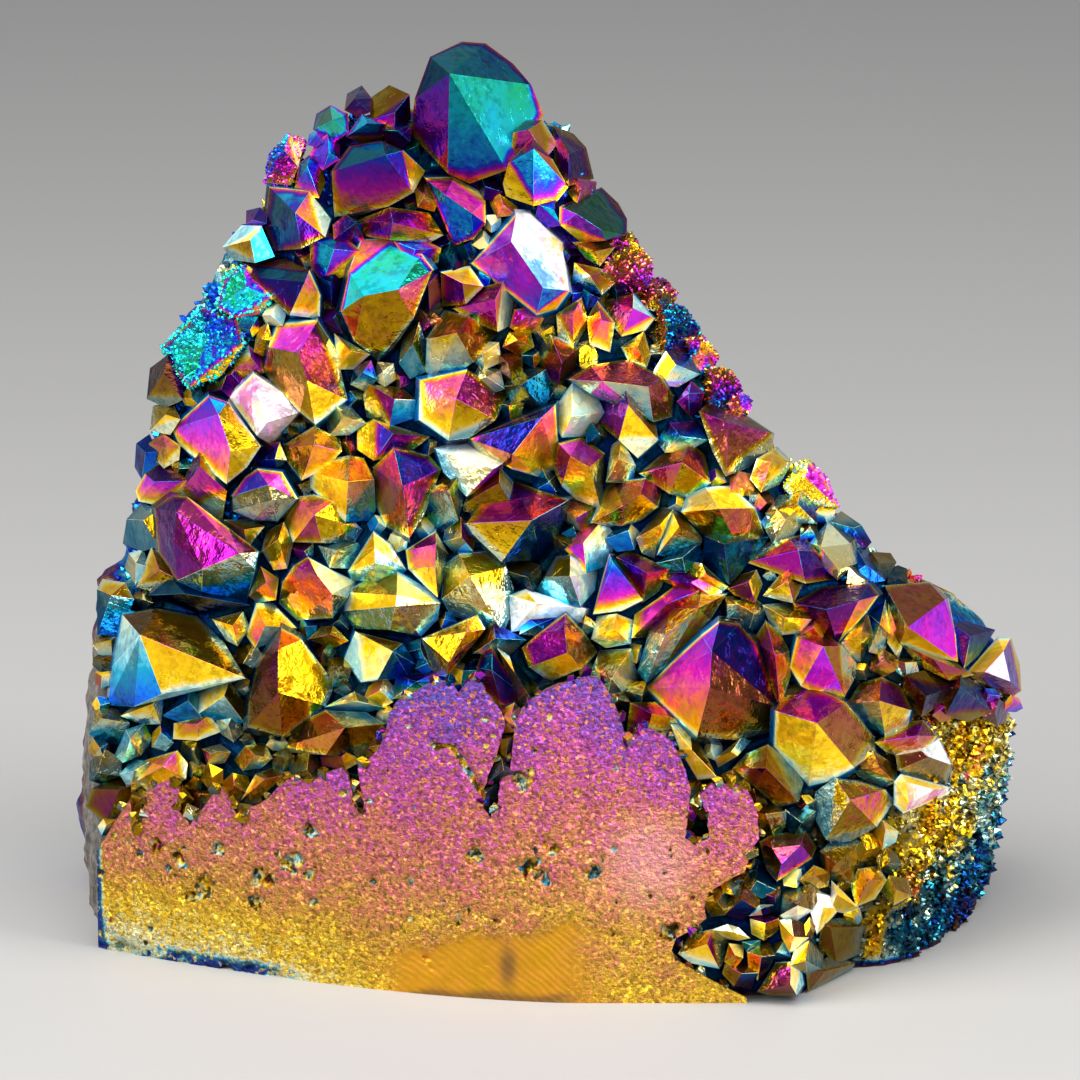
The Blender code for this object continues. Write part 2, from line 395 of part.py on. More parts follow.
     "37.6 14.5, 38.5 16.8, 41 17.2, 42.2 15.4, 40.7 13, 38.3 12"),
    (2.8, "46 18.4",
     "42 16.4, 43 19.6, 47.5 21, 50.6 19.6, 48.4 16.4, 44.5 15.2"),
    (3.2, "20.8 6.2",
     "16.3 7, 19.5 8.8, 22.6 7.8, 24.7 5, 26.2 2.5, 24 1.8, 21 3.4, 16.8 5"),
    (2.4, "29 3.2",
     "25.8 1.2, 28.5 5.2, 31.5 5.2, 32.2 2.6, 31 0.6"),
    (1.8, "24 13",
     "21.6 11.4, 22.8 14.4, 25.6 14.6, 26.2 11.8, 24 10.4"),
    (2.6, "-48.4 29.6",
     "-51.6 27.8, -50.6 30.4, -46.5 31.6, -45.2 30, -45.4 28, -49.8 26"),
    (1.8, "-52 29",
     "-53.8 28.6, -52 30.6, -50 30.2, -50.2 27.6, -52.4 26.4"),
    (2.4, "-36.8 31",
     "-39.4 30.4, -38 32.2, -35.6 32.6, -34.6 30.6, -36 29.4, -38.4 29"),
    (2.2, "-35.6 28",
     "-38.6 25.4, -36.8 28.6, -34.2 29.6, -33 28.6, -35.4 26.4, -37.4 24.6"),
    (2.2, "-52.4 33",
     "-54.4 31, -53 34.2, -50.6 35, -49.6 33, -51 31, -53.4 30"),
)

COS_TILT, SIN_TILT = math.cos(VIEW_TILT), math.sin(VIEW_TILT)


def points_of(text):
    """The (u, v) pairs written in a list such as "1 2, 3 4"."""
    return [tuple(float(number) for number in pair.split()) for pair in text.split(",")]


def smooth_step(value, low, high):
    share = min(max((value - low) / (high - low), 0.0), 1.0)
    return share * share * (3 - 2 * share)


def edge_at(edge, height):
    return float(np.interp(height, [row[0] for row in edge], [row[1] for row in edge]))


def from_view(u, v, y):
    """The point at depth y, in millimetres, that shows at (u, v)."""
    mid_u, mid_v = VIEW_MIDDLE
    rise = v - mid_v
    z = (mid_v + rise * (1 + y * COS_TILT / VIEW_DISTANCE) - y * SIN_TILT) / (
        COS_TILT + rise * SIN_TILT / VIEW_DISTANCE)
    away = 1 + (y * COS_TILT - z * SIN_TILT) / VIEW_DISTANCE
    return Vector((mid_u + (u - mid_u) * away, y, z))


def face_depth(x):
    """Depth of the sawn face, which is ground slightly round, and of the broken right side."""
    flat_start, flat_end = FACE_FLAT
    if x < flat_start:
        return FACE_SETBACK * ((flat_start - x) / (flat_start - FACE_LEFT)) ** 1.6
    if x > flat_end:
        return RIGHT_SETBACK * ((x - flat_end) / RIGHT_REACH) ** 1.7
    return 0.0


def sideways_at(u, v):
    """How near (u, v) is to the outline: 0 in the middle, 1 on it."""
    left, right = edge_at(SEEN_LEFT, v), edge_at(SEEN_RIGHT, v)
    return min(abs(2 * u - left - right) / (right - left), 1.0)


def layer_depth(u, v):
    """Depth of the surface that the crystals' rims lie on."""
    slope = min(max((v - SLOPE_START) / (SLOPE_END - SLOPE_START), 0.0), 1.0)
    shoulder = smooth_step(v, 25, 45)
    if u > FACE_FLAT[1]:
        front = face_depth(u) * (1 - 0.6 * shoulder)
        bare = smooth_step(u, 37, 46) * (1 - shoulder)
    else:
        front = face_depth(max(u, FACE_LEFT)) * (1 - 0.5 * slope)
        bare = 0.0
    rounding = EDGE_ROUNDING * sideways_at(u, v) ** 6 * smooth_step(v, 35, 60)
    return front + LAYER_DEPTH * (1 - bare) + SLOPE_DEPTH * slope**1.15 + rounding


def crevice_depth(x, z):
    """Depth of the matrix behind the crystals, at one height."""
    depth = layer_depth(x, z)
    for _ in range(4):
        depth = layer_depth(x, z * COS_TILT + depth * SIN_TILT)
    bare = smooth_step(x, 37, 46) * (1 - smooth_step(z, 20, 36))
    return depth + CREVICE_DEPTH * (1 - bare)


def ring_outline(z):
    """The matrix's outline at one height, counter-clockwise from its front left corner."""
    left, right = edge_at(LEFT_EDGE, z), edge_at(RIGHT_EDGE, z)
    corner = left + LEFT_BULGE
    back = BACK_DEPTH - BACK_LEAN * (z / BODY_TOP) ** 2
    across = np.linspace(0, 1, 60)
    front = [(corner + (right - corner) * t, crevice_depth(corner + (right - corner) * t, z)) for t in across]
    front_right = min(front[-1][1], back - 6)
    front = [(x, min(y, back - 6)) for x, y in front]
    left, right = edge_at(LEFT_BACK, z), edge_at(RIGHT_BACK, z)
    middle, half = (left + right) / 2, (right - left) / 2
    rear = []
    for t in np.linspace(0.97, -0.97, 50):
        rear.append((middle + half * t, back - 5 * abs(t) ** 5 * (1 - front_right / 90)))
    side = []
    start, end = rear[-1], front[0]
    for t in np.linspace(0.1, 0.9, 8):
        bulge = LEFT_BULGE * math.sin(math.pi * t)
        side.append((start[0] + (end[0] - start[0]) * t - bulge, start[1] + (end[1] - start[1]) * t))
    return front + rear + side


def even_ring(outline):
    """The outline as a fixed number of points, evenly spaced along it."""
    closed = np.array(outline + outline[:1])
    steps = np.hypot(*np.diff(closed, axis=0).T)
    along = np.concatenate([[0], np.cumsum(steps)])
    wanted = np.linspace(0, along[-1], RING_POINTS, endpoint=False)
    return np.column_stack([np.interp(wanted, along, closed[:, i]) for i in (0, 1)])


def roughness_at(x, y, z):
    """How far the broken rock stands out of its smooth outline, in millimetres."""
    where = Vector((x, y, z))
    lumps = noise.noise(where / 14.0) + 0.55 * noise.noise(where / 5.5 + Vector((7, 3, 1)))
    behind = smooth_step(y, 40, 58)
    right = smooth_step(x, 40, 50)
    return lumps * (0.5 + 2.4 * max(behind, right * 0.8))


def matrix_mesh():
    """The matrix as a loft of level outlines, from the sawn base to the top."""
    mesh = bmesh.new()
    rings = []
    heights = list(np.linspace(0, BODY_TOP, LEVELS)) + [BODY_TOP + CAP_HEIGHT]
    for z in heights:
        ring = even_ring(ring_outline(min(z, BODY_TOP)))
        centre = ring.mean(axis=0)
        if z > BODY_TOP:
            ring = centre + (ring - centre) * 0.5
        ahead = np.roll(ring, -1, axis=0) - np.roll(ring, 1, axis=0)
        outward = np.column_stack([ahead[:, 1], -ahead[:, 0]]) / np.hypot(*ahead.T)[:, None]
        verts = []
        for (x, y), (nx, ny) in zip(ring, outward):
            out = roughness_at(x, y, z)
            verts.append(mesh.verts.new(Vector((x + nx * out, y + ny * out, z)) * MM))
        rings.append(verts)
    for low, high in zip(rings, rings[1:]):
        for i in range(RING_POINTS):
            j = (i + 1) % RING_POINTS
            mesh.faces.new((low[i], low[j], high[j], high[i]))
    mesh.faces.new(reversed(rings[0]))
    mesh.faces.new(rings[-1])
    bmesh.ops.triangulate(mesh, faces=mesh.faces[:])
    return mesh


def face_block_mesh():
    """A slab whose front is the sawn face, cut to its scalloped rim afterwards."""
    mesh = bmesh.new()
    columns = []
    low, high = -2.0, 52.0
    for x in np.linspace(FACE_LEFT, 33, 20):
        near, far = face_depth(x), face_depth(x) + FACE_THICKNESS
        columns.append([mesh.verts.new(Vector((x, y, z)) * MM)
                        for y, z in ((near, low), (far, low), (far, high), (near, high))])
    for one, two in zip(columns, columns[1:]):
        for i in range(4):
            j = (i + 1) % 4
            mesh.faces.new((one[i], one[j], two[j], two[i]))
    mesh.faces.new(columns[0])
    mesh.faces.new(reversed(columns[-1]))
    bmesh.ops.recalc_face_normals(mesh, faces=mesh.faces[:])
    return mesh


def rim_cutter(name):
    """The sawn face's outline as a prism along the line of sight."""
    curve = bpy.data.curves.new(name, "CURVE")
    curve.dimensions = "2D"
    curve.fill_mode = "BOTH"
    curve.extrude = 60 * MM
    rim = points_of(FACE_RIM)
    spline = curve.splines.new("POLY")
    spline.points.add(len(rim) - 1)
    for point, (u, v) in zip(spline.points, rim):
        seen = from_view(u, v, face_depth(u))
        point.co = (seen.x * MM, (seen.y * SIN_TILT + seen.z * COS_TILT) * MM, 0, 1)
    spline.use_cyclic_u = True
    guide = bpy.data.objects.new(name + "_curve", curve)
    guide.rotation_euler = (math.pi / 2 - VIEW_TILT, 0, 0)
    bpy.context.scene.collection.objects.link(guide)
    bpy.context.view_layer.update()
    graph = bpy.context.evaluated_depsgraph_get()
    data = bpy.data.meshes.new_from_object(guide.evaluated_get(graph))
    data.transform(guide.matrix_world)
    mesh = bmesh.new()
    mesh.from_mesh(data)
    bmesh.ops.remove_doubles(mesh, verts=mesh.verts[:], dist=1e-6)
    bmesh.ops.recalc_face_normals(mesh, faces=mesh.faces[:])
    bpy.data.meshes.remove(data)
    bpy.data.objects.remove(guide)
    return mesh


def fewer_corners(rim, most):
    """The rim without its flattest corners."""
    rim = [Vector(point) for point in rim]
    while len(rim) > most:
        bends = []
        for i, point in enumerate(rim):
            before, after = rim[i - 1], rim[(i + 1) % len(rim)]
            bends.append(abs((point - before).cross(after - point)))
        rim.pop(bends.index(min(bends)))
    return rim


def crystal_mesh(rise, tips, rim):
    """A crystal: flat faces from its tips down to its rim, and a body that roots in the matrix."""
    rim = fewer_corners(rim, RIM_CORNERS if rise < LARGE_RISE else LARGE_RIM_CORNERS)
    middle = Vector((sum(u for u, _ in rim) / len(rim), sum(v for _, v in rim) / len(rim)))
    size = sum((Vector(point) - middle).length for point in rim) / len(rim)
    root = 0.8 * size + 3.0
    corners = [from_view(u, v, layer_depth(u, v) - rise) for u, v in tips]
    for u, v in rim:
        at_outline = max(smooth_step(sideways_at(u, v), 0.7, 0.92), smooth_step(v, 98, 106))
        for scale, depth in ((1 + RIM_SPREAD * (1 - at_outline), 0), (ROOT_TAPER, root)):
            spot = middle + (Vector((u, v)) - middle) * scale
            corners.append(from_view(spot.x, spot.y, layer_depth(u, v) + depth))
    mesh = bmesh.new()
    for corner in corners:
        mesh.verts.new(corner * MM)
    hull = bmesh.ops.convex_hull(mesh, input=mesh.verts[:])
    loose = [item for item in hull["geom_interior"] if isinstance(item, bmesh.types.BMVert)]
    bmesh.ops.delete(mesh, geom=loose, context="VERTS")
    bmesh.ops.recalc_face_normals(mesh, faces=mesh.faces[:])
    return mesh


def box_mesh(low, high):
    mesh = bmesh.new()
    bmesh.ops.create_cube(mesh, size=1)
    low, high = Vector(low) * MM, Vector(high) * MM
    size = high - low
    matrix = Matrix.Translation((low + high) / 2) @ Matrix.Diagonal((*size, 1))
    bmesh.ops.transform(mesh, matrix=matrix, verts=mesh.verts[:])
    return mesh


def add_object(name, mesh, collection, helper=False):
    data = bpy.data.meshes.new(name)
    mesh.to_mesh(data)
    mesh.free()
    obj = bpy.data.objects.new(name, data)
    collection.objects.link(obj)
    if helper:
        obj.hide_render = True
        obj.display_type = "WIRE"
    return obj


def add_boolean(obj, name, operation, other):
    modifier = obj.modifiers.new(name, "BOOLEAN")
    modifier.operation = operation
    modifier.solver = "EXACT"
    if isinstance(other, bpy.types.Collection):
        modifier.operand_type = "COLLECTION"
        modifier.collection = other
    else:
        modifier.object = other


def evaluated_mesh(obj):
    graph = bpy.context.evaluated_depsgraph_get()
    return bpy.data.meshes.new_from_object(obj.evaluated_get(graph))


def keep_outer_shell(data):
    """Fills the pockets that the crystals close off, by removing every shell but the outer one."""
    mesh = bmesh.new()
    mesh.from_mesh(data)
    waiting = set(mesh.verts)
    shells = []
    while waiting:
        shell, edge = set(), [waiting.pop()]
        while edge:
            vert = edge.pop()
            shell.add(vert)
            for link in vert.link_edges:
                other = link.other_vert(vert)
                if other in waiting:
                    waiting.remove(other)
                    edge.append(other)
        shells.append(shell)
    shells.sort(key=len)
    for shell in shells[:-1]:
        bmesh.ops.delete(mesh, geom=list(shell), context="VERTS")
    print("shells removed:", len(shells) - 1)
    mesh.to_mesh(data)
    mesh.free()


def coating_material():
    material = bpy.data.materials.new("aura_coating")
    material.use_nodes = True
    shader = material.node_tree.nodes["Principled BSDF"]
    shader.inputs["Base Color"].default_value = (0.55, 0.24, 0.42, 1)
    shader.inputs["Metallic"].default_value = 0.9
    shader.inputs["Roughness"].default_value = 0.25
    return material


def new_collection(name, parent):
    collection = bpy.data.collections.new(name)
    parent.children.link(collection)
    return collection


def main():
    for obj in list(bpy.data.objects):
        bpy.data.objects.remove(obj, do_unlink=True)
    root = bpy.context.scene.collection
    parts = new_collection("aura_amethyst_druzy", root)
    cutters = new_collection("cutters", root)
    grown = new_collection("crystals", cutters)

    specimen = add_object("druzy_specimen", matrix_mesh(), parts)
    slab = add_object("face_slab", face_block_mesh(), cutters, helper=True)
    outline = add_object("face_outline", rim_cutter("face_outline"), cutters, helper=True)
    add_boolean(slab, "rim", "INTERSECT", outline)
    for number, (rise, tips, rim) in enumerate(CRYSTALS):
        mesh = crystal_mesh(rise, points_of(tips), points_of(rim))
        add_object(f"crystal_{number:03d}", mesh, grown, helper=True)
    below = add_object("below_base", box_mesh((-90, -40, -40), (90, 110, 0)), cutters, helper=True)

    add_boolean(specimen, "sawn_face", "UNION", slab)
    add_boolean(specimen, "crystals", "UNION", grown)
    add_boolean(specimen, "sawn_base", "DIFFERENCE", below)

    # The origin goes to the middle of the base's bounding box.
    bpy.context.view_layer.update()
    whole = evaluated_mesh(specimen)
    keep_outer_shell(whole)
    places = np.empty(len(whole.vertices) * 3)
    whole.vertices.foreach_get("co", places)
    places = places.reshape(-1, 3)
    low, high = places.min(axis=0), places.max(axis=0)
    specimen.modifiers.clear()
    specimen.data = whole
    whole.transform(Matrix.Translation((-(low[0] + high[0]) / 2, -(low[1] + high[1]) / 2, -low[2])))
    whole.name = "druzy_specimen"
    whole.materials.clear()
    whole.materials.append(coating_material())
    print("middle of the base, in the view's millimetres:", (low + high) / 2 / MM)


main()
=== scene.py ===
import itertools
import math

import bmesh
import bpy
import numpy as np
from mathutils import Matrix, Vector, noise
from mathutils.bvhtree import BVHTree


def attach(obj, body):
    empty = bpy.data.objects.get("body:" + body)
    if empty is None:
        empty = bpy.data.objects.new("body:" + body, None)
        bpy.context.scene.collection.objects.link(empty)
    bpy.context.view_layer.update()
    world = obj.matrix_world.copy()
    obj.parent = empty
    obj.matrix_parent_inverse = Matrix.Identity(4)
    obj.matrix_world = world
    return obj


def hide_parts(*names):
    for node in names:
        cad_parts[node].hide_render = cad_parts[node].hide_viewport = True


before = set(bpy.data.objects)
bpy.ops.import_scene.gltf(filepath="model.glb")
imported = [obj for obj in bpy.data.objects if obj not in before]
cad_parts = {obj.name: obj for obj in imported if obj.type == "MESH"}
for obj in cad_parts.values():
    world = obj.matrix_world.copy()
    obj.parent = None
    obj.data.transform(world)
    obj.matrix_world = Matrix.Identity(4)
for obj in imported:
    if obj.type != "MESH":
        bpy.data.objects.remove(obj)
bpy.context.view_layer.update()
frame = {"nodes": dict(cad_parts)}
print("frame loaded:", ", ".join(frame["nodes"]))

mm = 0.001

# (u, v) are seen millimetres: across and up, as the cluster shows from this viewpoint.
viewpoint = {
    "tilt": math.radians(14),
    "distance": 1100.0,
    "middle": (-1.2, 57.9),
    "seenWidth": 135.0,
    "origin": (0.03, 32.8, 0.0),  # of the part, in the millimetres used below
}
cosTilt, sinTilt = math.cos(viewpoint["tilt"]), math.sin(viewpoint["tilt"])

body = {
    "backDepth": 64.0,
    "backLean": 8.0,
    "faceSetback": 24.0,
    "faceFlat": (4.0, 30.0),
    "faceLeft": -57.6,
    "faceThickness": 13.0,
    "rightSetback": 45.0,
    "rightReach": 27.0,
    "layerDepth": 7.0,
    "slopeDepth": 35.0,
    "slope": (25.0, 120.0),
    "edgeRounding": 10.0,
    "creviceDepth": 2.8,
    "bareDepth": 2.2,
    "leftBulge": 2.6,
    "top": 101.0,
    "ringPoints": 260,
    "levels": 110,
    "caps": ((0.9, 1.2), (0.7, 2.3), (0.4, 3.0), (0.12, 3.2)),  # scale and rise of the outlines over the top
    "faceCurve": 1.6,
    "rightCurve": 1.7,
    "slopeCurve": 1.15,
    "shoulder": (25.0, 45.0),       # heights between which the front leans back
    "bareSide": (37.0, 46.0),       # across, where the crystals give way to broken rock
    "bareTop": (20.0, 36.0),
    "roundingPower": 6,
    "roundingFrom": (35.0, 60.0),
    # left, right, top and share of a shallow part
    "pocket": ((11.0, 15.0), (31.0, 35.0), (12.0, 21.0), 0.95),
    "outlinePoints": (150, 80, 14),  # in front, behind and on the left
}

# Left and right edge of the matrix, at its face and at its back: height, across.
leftEdge = ((0, -60), (8, -60.5), (20, -59.5), (30, -58.5), (42, -57.5), (44, -54), (52, -53),
            (60, -52), (70, -49.5), (76, -45.5), (82, -43), (89, -38.5), (96, -33.5), (102, -30))
leftBack = ((0, -59), (20, -59.5), (36, -58.5), (42, -56), (46, -52.5), (61, -49), (71, -46),
            (79, -40.5), (87, -35.5), (95, -29), (102, -21))
rightEdge = ((0, 54), (4, 57), (12, 58.8), (22, 59), (33, 58), (40, 55.5), (44, 51), (48, 43),
             (50, 38.5), (56, 35), (60, 31.5), (65, 26.5), (71, 21.5), (77, 17), (83, 12.5),
             (89, 8.5), (96, 4), (102, 1))
rightBack = ((0, 53), (12, 57), (24, 57), (33, 55), (37, 52), (40, 47), (43, 41), (47, 36.5),
             (52, 32.5), (57, 28.5), (62, 24), (70, 17.5), (80, 11), (88, 6.5), (95, 2.5), (102, -1))

# Left and right edge of the crystals, seen: up, across.
seenLeft = ((25, -58), (50, -56.5), (56, -53), (70, -51), (80, -49), (88, -43), (98, -38),
            (106, -33), (111, -29), (120, -16))
seenRight = ((25, 59), (40, 59), (46, 56), (52, 47), (57, 40), (65, 34.5), (74, 26), (83, 19),
             (92, 12.5), (98, 9), (105, 5), (112, 0), (120, -6))

# The coating's colour goes through these as it gets thicker: 0 is bare stone.
film = {
    "x": (0.00, (118, 110, 104)),
    "k": (0.06, (150, 88, 46)),
    "p": (0.14, (96, 20, 84)),
    "n": (0.22, (18, 24, 120)),
    "b": (0.30, (16, 84, 205)),
    "t": (0.38, (22, 150, 178)),
    "s": (0.45, (160, 212, 214)),
    "w": (0.51, (244, 236, 176)),
    "y": (0.57, (252, 208, 28)),
    "g": (0.62, (216, 160, 18)),
    "r": (0.68, (226, 110, 80)),
    "m": (0.74, (200, 30, 172)),
    "v": (0.80, (122, 32, 190)),
    "B": (0.86, (30, 62, 214)),
    "c": (0.92, (30, 196, 232)),
    "G": (1.00, (34, 184, 130)),
}

# The coating's tone on the left side, by the distance behind the sawn face.
leftBorder = ((0, 0.3), (3, 0.27), (4.2, 0.14), (5.4, 0.06), (6.2, 0.0))

# Patches of the broken right side, seen: middle, reach, tone, brightness.
brokenSide = """35 6.5 4 0.42 0.5, 40 6.5 2.6 0.45 0.75, 41 11 2.6 0.57 0.7, 45 16 4 0.6 0.85,
46.5 20.5 4.5 0.585 0.75, 50.5 32 3.5 0.595 0.8, 58.2 31 2.6 0.53 0.75, 53.5 24.5 3 0.46 0.7,
56.5 19 4 0.36 0.4, 50.5 14 3.5 0.37 0.4, 47 8.5 3 0.36 0.4, 53.5 11 2.6 0.24 0.4,
54.2 13 1.3 0.1 0.5, 51.5 8.8 1.6 0.04 0.3"""

# The upper rim of the sawn face, seen.
faceRim = """-57.4 4, -56.6 19, -54.5 22.5, -52.5 25.4, -51.9 22, -51.2 22, -50.4 26.4, -48.6 27.6,
-46.9 28.2, -46.2 26.2, -46.8 24.6, -45 22.3, -43.2 24.6, -42 26.2, -41 27, -40 25.4, -38.4 22,
-37.6 24.4, -35.4 25.4, -33.4 27.6, -32 28.3, -30 27.4, -28.4 28.6, -26 29.4, -25.2 28.6, -24.4 24.4,
-23.4 23.4, -23.2 25, -24 29.4, -21.6 31.4, -20.6 33.4, -20 36.4, -19 37.8, -16 39.4, -14 40.2,
-12 40, -11.5 38.8, -10 40.4, -9 40.8, -7.6 38.4, -6 36.6, -5.5 34.8, -6.8 30.6, -8.2 27, -8.4 24.4,
-7.4 23.2, -6.6 24.2, -6.2 27.6, -4.9 29.4, -4.3 35.2, -3.4 36.8, -2 38.2, 0 39.4, 3 40.4, 5 41,
6.4 40.4, 7.5 38.8, 8.5 36.4, 9.3 34.2, 9.7 32.8, 10.4 33.3, 11.6 34.4, 13 34.1, 15 33, 16 31.4,
17 29, 17.6 27, 17.3 24, 17 20.6, 18 19.8, 20 20.6, 19.8 22.8, 18.8 26.2, 20.4 27.4, 22.4 27.4,
24.4 27.1, 25.4 25.4, 26 23.4, 26.2 20.6, 25 18.4, 24.4 16.4, 22 15.2, 20 14, 19.4 12, 19.6 10.6,
18 9.2, 15.8 8, 15.2 6.6, 16.1 5.3, 17.8 4.3, 20 3, 22.2 1.9, 24.6 0.7, 25 -3, -57.4 -3"""

